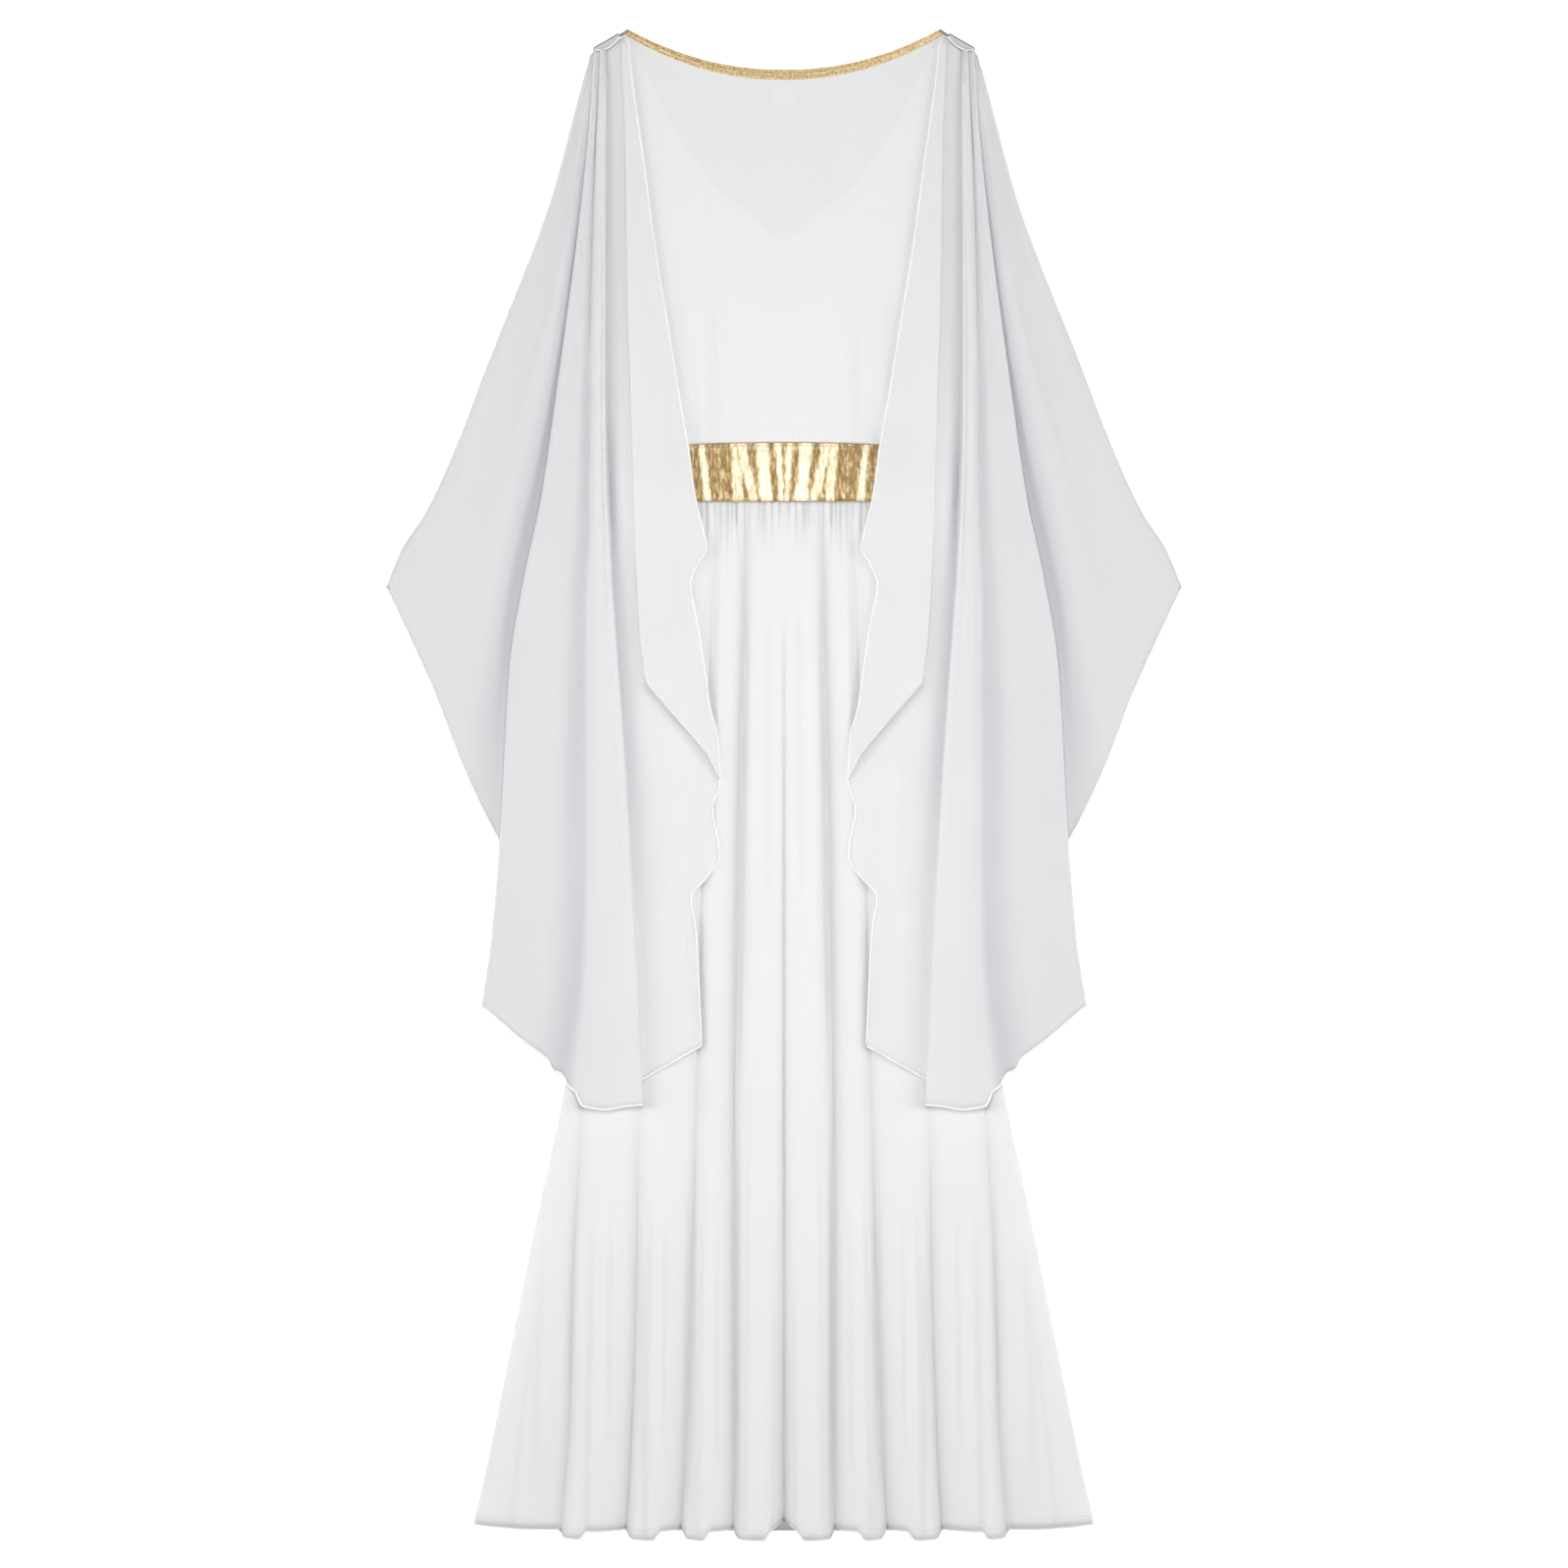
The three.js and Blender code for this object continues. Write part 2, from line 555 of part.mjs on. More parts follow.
function capeRow(v) {
  const lift = (name) => along(LIFTS, name, v, 'at');
  const outer = onLine(OUTER_EDGE, v);
  const outerFold = onLine(OUTER_FOLD, v);
  const trough = onLine(MIDDLE_TROUGH, v);
  const innerFold = onLine(INNER_FOLD, v);
  const inner = onLine(INNER_EDGE, v);
  const tuck = clamp((outerFold.out - innerFold.out) * TUCK.share, TUCK.least, TUCK.most);
  const outerHidden = hiddenFold(OUTER_FOLD, v, HIDDEN_HEM.outer, -tuck);
  const innerHidden = hiddenFold(INNER_FOLD, v, HIDDEN_HEM.inner, tuck);
  const points = [];
  const put = (at, z, shift = 0) => {
    const out = at.out + shift;
    points.push(new THREE.Vector3(out, yOf(at.down), ground(out, at.down) + z));
  };
  const turn = (at, side, from, to) => {
    const r = Math.abs(to - from) / 2;
    [0.2, 0.5, 0.8].forEach((f) => {
      const angle = Math.PI * f;
      put(at, mix(from, to, 0.5 - 0.5 * Math.cos(angle)), side * r * (Math.sin(angle) - 1));
    });
  };
  const low = lift('low');
  const middle = low + lift('pitch');
  // outer section, from its free edge to the fold hidden under the middle section
  steps(9).forEach((a) => {
    const at = between(outer, outerHidden, a);
    at.out += OUTER_HEM.bulge * bump((a - OUTER_HEM.place) / OUTER_HEM.half) * ease((v - 0.8) / 0.2);
    const wave = OUTER_RIDGES.reduce((sum, r) => {
      const high = v < 0.5 ? mix(r.top, r.middle, ease(v * 2)) : mix(r.middle, r.hem, v * 2 - 1);
      return sum + high * bump((a - r.place) / r.half);
    }, 0);
    put(at, low + wave, a === 1 ? lift('pitch') / 2 : 0);
  });
  turn(outerHidden, -1, low, middle);
  // back under the middle section, and round its outer fold
  turn(outerFold, 1, middle, lift('fold'));
  // middle section: falls to its trough and rises to the crest beside its inner fold
  const marks = [
    { at: outerFold, z: lift('fold'), shift: -(lift('fold') - middle) / 2 },
    { at: between(outerFold, trough, 0.5), z: lift('shoulder'), shift: 0 },
    { at: trough, z: lift('trough'), shift: 0 },
    { at: between(trough, innerFold, 0.5), z: lift('crest'), shift: 0 },
    { at: innerFold, z: lift('inner'), shift: (lift('inner') - middle) / 2 },
  ];
  const profiles = [ease, steepening, rounding, ease];
  marks.slice(1).forEach((mark, k) => {
    const before = marks[k];
    const rise = profiles[k];
    [0.4, 0.75, 1].slice(k === 3 ? 1 : 0).forEach((f) => {
      const at = between(before.at, mark.at, f);
      at.down += along(HEM_REACH, 'reach', (k + f) / 4, 'across') * ease((v - 0.88) / 0.12);
      put(at, mix(before.z, mark.z, rise(f)), mix(before.shift, mark.shift, f));
    });
  });
  turn(innerFold, -1, lift('inner'), middle);
  turn(innerHidden, 1, middle, low);
  // inner section, low, to its free edge
  steps(6).slice(1).forEach((a) => {
    const wave = 3 * bump((a - 0.6) / 0.32) * ease((v - 0.74) / 0.12);
    put(between(innerHidden, inner, a), low + wave, 0);
  });
  return points;
}

// Sections of a cape from its shoulder to its hem, closest where its inner edge has its points
const CAPE_ROWS = [
  0, 0.03, 0.07, 0.13, 0.2, 0.28, 0.36, 0.44, 0.52, 0.59, 0.655,
  0.71, 0.735, 0.76, 0.79, 0.81, 0.832, 0.855, 0.885, 0.94, 1,
];

function flapRow(v) {
  const fold = onLine(FLAP_FOLD, v);
  const edge = onLine(FLAP_EDGE, v);
  const near = between(fold, edge, 0.82);
  near.down = mix(near.down, FLAP_POINT.down, ease((v - 0.9) / 0.1));
  near.out = mix(near.out, FLAP_POINT.out, ease((v - 0.9) / 0.1));
  const lower = 2.3;
  const upper = mix(4, 6.2, ease(v * 3));
  const wide = fold.out - edge.out;
  const tuck = Math.min(FLAP_TUCK, wide * 0.3);
  const points = [];
  const put = (at, z, shift = 0) => {
    const out = at.out + shift;
    points.push(new THREE.Vector3(out, yOf(at.down), ground(out, at.down) + z));
  };
  put(fold, lower, -tuck);
  const r = (upper - lower) / 2;
  [0.15, 0.5, 0.85].forEach((f) => {
    put(fold, mix(lower, upper, 0.5 - 0.5 * Math.cos(Math.PI * f)), r * (Math.sin(Math.PI * f) - 1));
  });
  [0.2, 0.42, 0.62].forEach((f) => {
    const ripple = 1.6 * bump((f - 0.62) / 0.2) * ease((v - 0.3) / 0.3);
    put(between(fold, near, f), mix(upper, lower + 0.2, ease(f * 1.5 - 0.25)) + ripple);
  });
  put(near, lower + 0.1);
  put(edge, lower);
  return points;
}

// Braid that edges the back neck, on the bodice's own line
function braidRows() {
  const inside = [0, 0.12, 0.88, 1];
  const top = BACK_TOP + SEAM;
  const section = (out) => {
    const before = Math.max(out - 1, 0);
    const slope = backNeck(before) - backNeck(before + 1);
    const size = Math.hypot(slope, 1);
    return { nx: slope / size, ny: 1 / size };
  };
  const places = twoSided(steps(13).map((f) => f * (NECK_HALF - 1)));
  const layer = (z) =>
    places.map((x) => {
      const out = Math.abs(x);
      const { nx, ny } = section(out);
      const atEnd = out > NECK_HALF - 1.5;
      return inside.map((f, k) => {
        const below = mix(-BRAID.past, BRAID.wide - BRAID.past, f);
        const dome = z && (k === 1 || k === 2) ? 0.25 : 0;
        const reach = atEnd ? mix(out, BRAID_END.out, f) : out - nx * below;
        const y = atEnd ? yOf(mix(0, BRAID_END.down, f)) : yOf(backNeck(out)) - ny * below;
        return { x: Math.sign(x) * reach, y, z: top + (z ? BRAID.thick - 0.25 + dome : 0), key: k };
      });
    });
  return closedWall(layer(true), layer(false));
}

// Bound strip where a cape's gathers are sewn to the shoulder
function stripWall() {
  const low = BACK_TOP + SEAM;
  const layer = (z) =>
    steps(6).map((f) =>
      [0, 0.2, 0.8, 1].map((g, k) => {
        const bow = STRIP.bow * Math.sin(Math.PI * f);
        const x = mix(NECK_HALF + 9.5, SHOULDER_TIP.out - 1, f) - g * 1.6;
        const down = mix(STRIP.start, STRIP.end, f) - bow + g * STRIP.wide;
        return { x, y: yOf(down), z: low + (z ? STRIP.thick - (k % 3 ? 0 : 0.5) : 0), key: k };
      }),
    );
  return closedWall(layer(true), layer(false));
}

function labelWall() {
  const layer = (z) =>
    [0, 1].map((g) =>
      [-0.5, 0.5].map((f, k) => ({
        x: f * LABEL.wide,
        y: yOf(LABEL.down + g * LABEL.deep),
        z: BACK_MID - CLOTH / 2 - SEAM - (z ? 0 : LABEL.thick),
        key: k,
      })),
    );
  return closedWall(layer(true), layer(false));
}

// Colours and finishes
const finish = {
  gown: { color: 0xf4f4f5, roughness: 0.72, metalness: 0 },
  cape: { color: 0xe9e9ee, roughness: 0.7, metalness: 0 },
  lame: { color: 0xd8b45c, roughness: 0.3, metalness: 0.85 },
  braid: { color: 0xd9ab5a, roughness: 0.45, metalness: 0.6 },
  satin: { color: 0xf2f2f2, roughness: 0.4, metalness: 0 },
};

const group = new THREE.Group();
function add(name, geometry, look) {
  const solid = geometry;
  solid.deleteAttribute('normal');
  const mesh = new THREE.Mesh(mergeVertices(solid), new THREE.MeshStandardMaterial(finish[look]));
  mesh.geometry.computeVertexNormals();
  mesh.name = name;
  group.add(mesh);
}

const bodicePlaces = twoSided([0, 15, 30, 46, 62, 73, 84, 99, 110, 120, 134, 152, 170, 186]);
const backPlaces = twoSided([0, 14, 28, 42, 56, 68, 80, 92, 106, 122, 138, 152, 170, 186]);
const flatFront = () => FRONT_TOP / 2;
const bandHalf = 140;
const frontBandPlaces = twoSided(steps(6).map((f) => f * bandHalf));
const bandPlaces = twoSided([0, ...CREASES.flatMap((c, i) => {
  const next = CREASES[i + 1] ? CREASES[i + 1].top : bandHalf;
  return [c.top, (c.top + c.half + next) / 2 - 1];
}), bandHalf]);
const frontSkirt = steps(8).map((v) => {
  const level = mix(BAND_TOP + BAND_DEEP + SEAM, HEM_DOWN + 1, v);
  return twoSided(steps(6)).map((f) => {
    const x = f * skirtHalf(level);
    return { x, down: level - 7 * Math.abs(f) ** 3 * v, key: f };
  });
});

add('front_bodice', heightWall(bodiceRows(frontNeck, bodicePlaces, 7), flatFront, FRONT_TOP), 'gown');
add('front_waistband', heightWall(bandRows(frontBandPlaces, [0, 1]), flatFront, FRONT_TOP), 'lame');
add('front_skirt', heightWall(frontSkirt, flatFront, FRONT_TOP), 'gown');
add('neck_label', labelWall(), 'satin');
add('back_bodice', heightWall(bodiceRows(backNeck, backPlaces, 9), backBodiceHeight, CLOTH), 'gown');
add('back_waistband', heightWall(bandRows(bandPlaces, [0, 0.08, 0.35, 0.65, 0.92, 1]), bandHeight, BAND_WALL), 'lame');
add('back_skirt', heightWall(skirtRows(), skirtHeight, CLOTH), 'gown');
add('neck_braid', braidRows(), 'braid');

const cape = foldedWall(CAPE_ROWS.map((v) => capeRow(v)), CLOTH);
const flap = foldedWall(steps(20).map((v) => flapRow(v)), CLOTH);
const strip = stripWall();
add('cape_right', cape.clone(), 'cape');
add('cape_flap_right', flap.clone(), 'cape');
add('shoulder_strip_right', strip.clone(), 'satin');
add('cape_left', mirrored(cape), 'cape');
add('cape_flap_left', mirrored(flap), 'cape');
add('shoulder_strip_left', mirrored(strip), 'satin');

export default group;
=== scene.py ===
import math
import random

import bmesh
import bpy
import numpy as np
from mathutils import Matrix


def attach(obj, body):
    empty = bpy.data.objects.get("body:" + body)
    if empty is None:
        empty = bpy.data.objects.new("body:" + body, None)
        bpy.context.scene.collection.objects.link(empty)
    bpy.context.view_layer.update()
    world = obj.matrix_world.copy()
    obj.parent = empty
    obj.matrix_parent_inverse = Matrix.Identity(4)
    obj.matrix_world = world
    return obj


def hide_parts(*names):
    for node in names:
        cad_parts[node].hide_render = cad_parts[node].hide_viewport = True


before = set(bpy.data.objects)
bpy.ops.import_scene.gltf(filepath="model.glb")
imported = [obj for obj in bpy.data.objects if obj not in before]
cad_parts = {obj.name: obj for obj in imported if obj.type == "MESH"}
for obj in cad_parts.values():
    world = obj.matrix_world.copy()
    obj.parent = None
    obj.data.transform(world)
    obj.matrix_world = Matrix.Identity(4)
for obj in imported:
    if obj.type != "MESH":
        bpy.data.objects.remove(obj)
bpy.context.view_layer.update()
random.seed(7)

LENGTH = 1463
THIN, FRONT_THIN, BAND_THIN, CAPE_THIN = 0.6, 0.9, 1.0, 0.5  # visible wall of each cloth
FRONT_MID, BACK_MID, BACK_TOP = 0.55, 1.95, 2.5  # heights of the panels
SEAM = 0.3
NECK_HALF, NECK_DROP, NECK_CURVE = 152, 39.5, 2.1
TIP_OUT, TIP_DOWN = 186, 20
BAND_TOP, BAND_DEEP, BAND_HALF = 400, 57.5, 140
BAND_END = BAND_TOP + BAND_DEEP
BAND_BOW_DROP, BAND_BOW_OUT, BAND_BOW_MOST = 2.4, 95, 3.6
HEM_DOWN, HEM_CORNER = 1455, 1449.5
# where the folds reach lowest at the hem, from and to, how far, and the runs down to it and up from it
HEM_LOBES = [(12, 50), (71, 100), (119, 154), (191, 219)]
HEM_LOBE, LOBE_IN, LOBE_OUT = 7.5, 8, 6
NOTCH_HALF, NOTCH_DEEP = 14, 7  # the hem's rise at the centre line
LABEL_WIDE, LABEL_DEEP, LABEL_DOWN, LABEL_MID = 26, 24, 53, 0.65
# where a cape starts down from the gown's side to the table, the run of that, and the space below a cape
DROP_START, DROP_RUN, CLEAR = 13, 24, 0.7

# Each table is a list of columns' names and then a row for each section
BODICE_SIDE = [
    ("down", "half"), (20, 186), (60, 172), (110, 166), (165, 174), (215, 196), (270, 187), (330, 163),
    (400, 141),
]
FRONT_NECK = [
    ("out", "down"), (0, 210), (30, 180), (62, 156), (84, 130), (99, 108), (120, 70), (134, 38), (152, 0),
]
SKIRT_SIDE = [
    ("down", "half"), (457, 140), (560, 151), (700, 168), (850, 187), (1024, 212), (1159, 240), (1349, 278),
    (1434, 296), (1449, 300), (1463, 301),
]
TROUGHS = [
    ("down", 1, 2, 3, 4), (457, 36, 66, 95, 118), (598, 40, 72, 106, 134), (712, 43, 76, 115, 150),
    (826, 45, 80, 125, 164), (940, 47, 83, 134, 180), (1054, 48, 85, 141, 196), (1254, 48, 90.5, 144, 206),
    (1340, 48, 93.5, 147, 208), (1425, 48.5, 98, 151, 214), (1463, 50, 101, 154, 217),
]
CRESTS = [
    ("down", 0, 1, 2, 3, 4), (457, 1.5, 1.2, 1, 1, 0.8), (560, 7.5, 3, 1.6, 1.4, 1),
    (800, 12, 5, 2.4, 2, 1.4), (1030, 13.5, 6, 3, 2.6, 2), (1120, 14, 9, 7, 6, 5),
    (1250, 15, 13.5, 12, 10.5, 8), (1463, 18, 17, 16, 14, 10),
]
# where each fold's crest lies between its two troughs, and how deep the first two part at the centre line
CREST_AT = [0.52, 0.6, 0.6, 0.5, 0.5]
CREST_ROUND = 0.85
CENTRE_CUT = [("down", "cut"), (457, 0.4), (620, 0.14), (900, 0.2), (1150, 0.5), (1350, 1)]
GATHERS = [0, 20, 38, 46.5, 55, 61, 67.5, 76, 83, 92, 101, 111, 121, 131, 140]
GATHER_HIGH, GATHER_RUN = 2.1, 62

OUTER_EDGE = [
    ("down", "out"), (25.5, 188), (66, 199.5), (124, 214.7), (170, 228), (332, 290.7), (395, 314.5),
    (468, 347.7), (503, 370.5), (540, 386),
]
OUTER_FOLD = [
    ("down", "out"), (24.5, 184), (97, 189), (200, 200), (333, 218), (451, 235), (536, 253), (617, 266),
    (775, 275), (884, 284), (948, 293.6),
]
MIDDLE_TROUGH = [
    ("down", "out"), (22, 179), (200, 186), (370, 189), (484, 191), (560, 195), (770, 196), (884, 198),
    (940, 202), (998, 211), (1018, 213),
]
INNER_FOLD = [
    ("down", "out"), (19.5, 173.5), (63, 171.5), (370, 171), (504, 166.3), (595, 160), (688, 153.3),
    (865, 143.5), (1042, 136.8),
]
INNER_EDGE = [
    ("down", "out"), (13, 150), (200, 139), (370, 118), (536, 106), (640, 92), (700, 68.5), (727, 61.8),
    (756, 69.4), (788, 63.7), (803, 62.7), (822, 75), (842, 90.3), (872, 85.5), (922, 82.7), (985, 80),
]
FLAP_FOLD = [
    ("down", "out"), (17, 158), (109, 154.5), (200, 153.9), (370, 148.7), (477, 145.4), (584, 140.6),
    (632, 134.9),
]
FLAP_EDGE = [
    ("down", "out"), (13, 150.5), (41, 148.2), (84, 142.5), (137, 134.9), (200, 126.7), (285, 113),
    (371, 98.8), (401, 93.4), (450, 86.7), (490, 77.3), (502, 74.7), (517, 82.7), (536, 90.7), (575, 84),
    (627, 76), (655, 72.2), (688, 64), (714, 62.7), (727, 61.8),
]
LIFTS = [
    ("at", "low", "pitch", "fold", "shoulder", "trough", "crest", "inner"),
    (0, 0.55, 1.5, 4.2, 3.8, 3, 4.6, 4.2), (0.12, 0.55, 2.2, 8, 7, 2.6, 8.5, 7.6),
    (0.4, 0.55, 2.4, 11, 9, 1.8, 12, 9), (0.75, 0.55, 2.4, 10.5, 9.5, 1.8, 13, 9.5),
    (1, 0.55, 2.4, 9, 11, 2.4, 14, 10),
]
# ridges of a cape's outer section: place from its edge to its hidden fold, half width, heights down it
OUTER_RIDGES = [(0.1, 0.13, 0.3, 2.4, 3), (0.58, 0.29, 0.6, 7.5, 5.5)]
# reach of the middle section's hem past a straight line
HEM_REACH = [
    ("across", "reach"), (0, 0), (0.25, -3), (0.4, -6), (0.43, 0), (0.49, -4), (0.52, 4), (0.58, 8),
    (0.61, 19), (0.75, 16), (0.9, 6), (1, 0),
]
OUTER_HEM_BULGE, OUTER_HEM_PLACE, OUTER_HEM_HALF = 6, 0.72, 0.4
HIDDEN_OUTER, HIDDEN_INNER = 808, 1026  # where the folds under the middle section end
TUCK_SHARE, TUCK_LEAST, TUCK_MOST = 0.26, 1.8, 15  # how far the cloth doubles back under a fold
FLAP_TUCK = 9
FLAP_POINT = (700, 75.5)


def clamp(value, low=0.0, high=1.0):
    return min(high, max(low, value))


def mix(a, b, f):
    return a + (b - a) * f


def ease(f):
    c = clamp(f)
    return c * c * (3 - 2 * c)


def bump(x):
    return math.cos(x * math.pi / 2) ** 2 if abs(x) < 1 else 0.0


def along(table, column, place):
    """Value of a table's column at a place in its first column, on a smooth curve that doesn't overshoot."""
    k = table[0].index(column)
    rows = table[1:]
    last = len(rows) - 1
    x = clamp(place, rows[0][0], rows[last][0])
    i = 0
    while i < last - 1 and x > rows[i + 1][0]:
        i += 1

    def slope(n):
        return (rows[n + 1][k] - rows[n][k]) / (rows[n + 1][0] - rows[n][0])

    def tangent(n):
        if n == 0:
            return slope(0)
        if n == last:
            return slope(last - 1)
        before, after = slope(n - 1), slope(n)
        return 0 if before * after <= 0 else 2 * before * after / (before + after)

    step = rows[i + 1][0] - rows[i][0]
    t = (x - rows[i][0]) / step
    rise = rows[i + 1][k] - rows[i][k]
    curl = (tangent(i) * (1 - t) - tangent(i + 1) * t) * step + rise * (2 * t - 1)
    return rows[i][k] + rise * t + t * (1 - t) * curl


def steps(count):
    return [i / count for i in range(count + 1)]


def across(half, count):
    """Places on both sides of the centre line."""
    values = [half * f for f in steps(count)]
    return [-v for v in reversed(values[1:])] + values


# The gown's forms
def back_neck(out):
    if out <= NECK_HALF:
        return NECK_DROP * (1 - (out / NECK_HALF) ** NECK_CURVE)
    return (out - NECK_HALF) / (TIP_OUT - NECK_HALF) * TIP_DOWN


def front_neck(out):
    return along(FRONT_NECK, "down", out) if out <= NECK_HALF else back_neck(out)


def bodice_half(down):
    return along(BODICE_SIDE, "half", down)


def band_top(x):
    return BAND_TOP + min(BAND_BOW_DROP * (x / BAND_BOW_OUT) ** 2, BAND_BOW_MOST)


def skirt_half(down):
    return along(SKIRT_SIDE, "half", down)


def trough_out(i, down):
    if i == 0:
        return 0
    return skirt_half(down) if i == 5 else along(TROUGHS, i, down)


def fold_at(out, down):
    i = 0
    while i < 4 and out > trough_out(i + 1, down):
        i += 1
    near = trough_out(i, down)
    return i, clamp((out - near) / (trough_out(i + 1, down) - near))


def crest(i, f):
    side = f / CREST_AT[i] if f < CREST_AT[i] else (1 - f) / (1 - CREST_AT[i])
    return math.sin(math.pi / 2 * side) ** CREST_ROUND


def fold_share(i, f, down):
    if i > 0 or f > CREST_AT[0]:
        return crest(i, f)
    return 1 - along(CENTRE_CUT, "cut", down) * (1 - crest(i, f))


def gather_height(out, down):
    g = 0
    while g < len(GATHERS) - 2 and out > GATHERS[g + 1]:
        g += 1
    f = clamp((out - GATHERS[g]) / (GATHERS[g + 1] - GATHERS[g]))
    wide = clamp((GATHERS[g + 1] - GATHERS[g]) / 9, 0.7, 1.3)
    run = GATHER_RUN * (1 if g % 3 == 0 else 0.62)
    return GATHER_HIGH * wide * math.sin(math.pi * f) * (1 - ease((down - BAND_END) / run))


def skirt_height(x, down):
    out = abs(x)
    i, f = fold_at(out, down)
    return BACK_MID + along(CRESTS, i, down) * fold_share(i, f, down) + gather_height(out, down)


def hem_of(out):
    i, f = fold_at(out, HEM_DOWN)
    if i == 4:
        return mix(HEM_DOWN - 1, HEM_CORNER, f**1.3)
    lobe = max(ease((out - start) / LOBE_IN) * ease((end - out) / LOBE_OUT) for start, end in HEM_LOBES)
    return HEM_DOWN - 1 + (HEM_LOBE + 1) * lobe - NOTCH_DEEP * (1 - ease(out / NOTCH_HALF))


def bodice_height(x, down):
    soft = 2.2 * bump((abs(x) - 68) / 13) * ease((down - 250) / 130)
    return BACK_MID + soft + 1.2 * bump(x / 26) * ease((down - 300) / 90)


def gown_half(down):
    return bodice_half(down) if down < BAND_TOP else skirt_half(down)


def gown_top(out, down):
    band = 2.6 * bump((down - BAND_TOP - BAND_DEEP / 2) / 62)
    start = ease((down - BAND_END + 55) / 50)
    bodice = 2.2 * ease((110 - out) / 40) * ease((down - 240) / 60) * (1 - start)
    i, f = fold_at(out, down)
    own = along(CRESTS, i, down)
    before = along(CRESTS, max(i - 1, 0), down)
    spread = mix(before, own, ease(f * 2 + 0.4)) if f < 0.5 else own
    gathers = 2.6 * (1 - ease((down - BAND_END) / (GATHER_RUN * 1.4)))
    return BACK_TOP + (max(own, spread) + gathers) * start + band + bodice


def ground(out, down):
    """Height of what a cape lies on: the gown, then the table beyond its sides."""
    beyond = (out - gown_half(down) - DROP_START) / DROP_RUN
    return (gown_top(min(out, gown_half(down)), down) + CLEAR) * (1 - ease(beyond))


# Meshes
def link(name, data):
    obj = bpy.data.objects.new(name, data)
    bpy.context.collection.objects.link(obj)
    return obj


def mesh_object(name, verts, faces):
    """A smooth object whose faces are turned outwards."""
    mesh = bpy.data.meshes.new(name)
    mesh.from_pydata(verts, [], faces)
    mesh.validate()
    mesh.shade_smooth()
    shape = bmesh.new()
    shape.from_mesh(mesh)
    bmesh.ops.recalc_face_normals(shape, faces=shape.faces)
    shape.to_mesh(mesh)
    shape.free()
    return link(name, mesh)


def points_of(places):
    """An array of (x, down, z) as points in the frame, still in mm."""
    p = np.array(places, dtype=float)
    p[..., 1] = LENGTH / 2 - p[..., 1]
    return p


def unit(vectors):
    return vectors / np.maximum(np.linalg.norm(vectors, axis=-1, keepdims=True), 1e-9)


def shell(name, grid, thick, values=None):
    """A closed thin wall about a grid of middle points (rows of x, down, z), with a float for each point."""
    p = points_of(grid)
    n = unit(np.cross(np.gradient(p, axis=1), np.gradient(p, axis=0)))
    if n[..., 2].mean() < 0:
        n = -n
    rows, cols = p.shape[:2]
    upper = (p + n * thick / 2).reshape(-1, 3)
    lower = (p - n * thick / 2).reshape(-1, 3)
    verts = np.concatenate([upper, lower]) / 1000
    ids = np.arange(rows * cols).reshape(rows, cols)
    a, b, c, d = ids[:-1, :-1], ids[:-1, 1:], ids[1:, 1:], ids[1:, :-1]
    top = np.stack([a, d, c, b], axis=-1).reshape(-1, 4)
    shift = rows * cols
    bottom = np.stack([a, b, c, d], axis=-1).reshape(-1, 4) + shift
    ring = np.concatenate([ids[0, :-1], ids[:-1, -1], ids[-1, :0:-1], ids[:0:-1, 0]])
    after = np.roll(ring, -1)
    rim = np.stack([ring, after, after + shift, ring + shift], axis=-1)
    faces = np.concatenate([top, bottom, rim])
    obj = mesh_object(name, verts.tolist(), faces.tolist())
    if values is not None:
        # the floats are painted light and shade, one for each point of both faces, which the cloth's colour
        # reads
        layer = obj.data.attributes.new("painted_light_and_shade", "FLOAT", "POINT")
        layer.data.foreach_set("value", np.concatenate([np.array(values, dtype=float).ravel()] * 2))
    return obj


def ring_faces(base, rings, sides):
    """Faces of a closed body made of rings of points, from the point numbered base on."""
    faces = []
    for a in range(base, base + (rings - 1) * sides, sides):
        for s in range(sides):
            n = (s + 1) % sides
            faces.append((a + s, a + sides + s, a + sides + n, a + n))
    last = base + (rings - 1) * sides
    return faces + [tuple(range(base, base + sides)), tuple(range(last + sides - 1, last - 1, -1))]


def tube(name, path, radius, sides=6):
    """A closed tube along a path of (x, down, z) points."""
    p = points_of(path)
    t = unit(np.gradient(p, axis=0))
    side = unit(np.cross(t, (0, 0, 1.0)))
    over = np.cross(side, t)
    verts = []
    for k in range(len(p)):
        for s in range(sides):
            a = 2 * math.pi * s / sides
            verts.append(tuple((p[k] + radius * (math.cos(a) * side[k] + math.sin(a) * over[k])) / 1000))
    return mesh_object(name, verts, ring_faces(0, len(p), sides))


def grains(name, items, sides):
    """Many short rounded bodies in one object: each item is centre, direction, half length, radius, squash."""
    rings = [(-1.0, 0.35), (-0.6, 0.9), (0.0, 1.0), (0.6, 0.9), (1.0, 0.35)]
    verts, faces = [], []
    for centre, direction, half, radius, flat in items:
        c = points_of(centre)
        t = unit(np.array((direction[0], -direction[1], direction[2]), dtype=float))
        side = unit(np.cross(t, (0, 0, 1.0)))
        over = np.cross(side, t)
        faces += ring_faces(len(verts), len(rings), sides)
        for place, share in rings:
            for s in range(sides):
                a = 2 * math.pi * s / sides
                arm = math.cos(a) * side + flat * math.sin(a) * over
                verts.append(tuple((c + t * half * place + arm * radius * share) / 1000))
    return mesh_object(name, verts, faces)


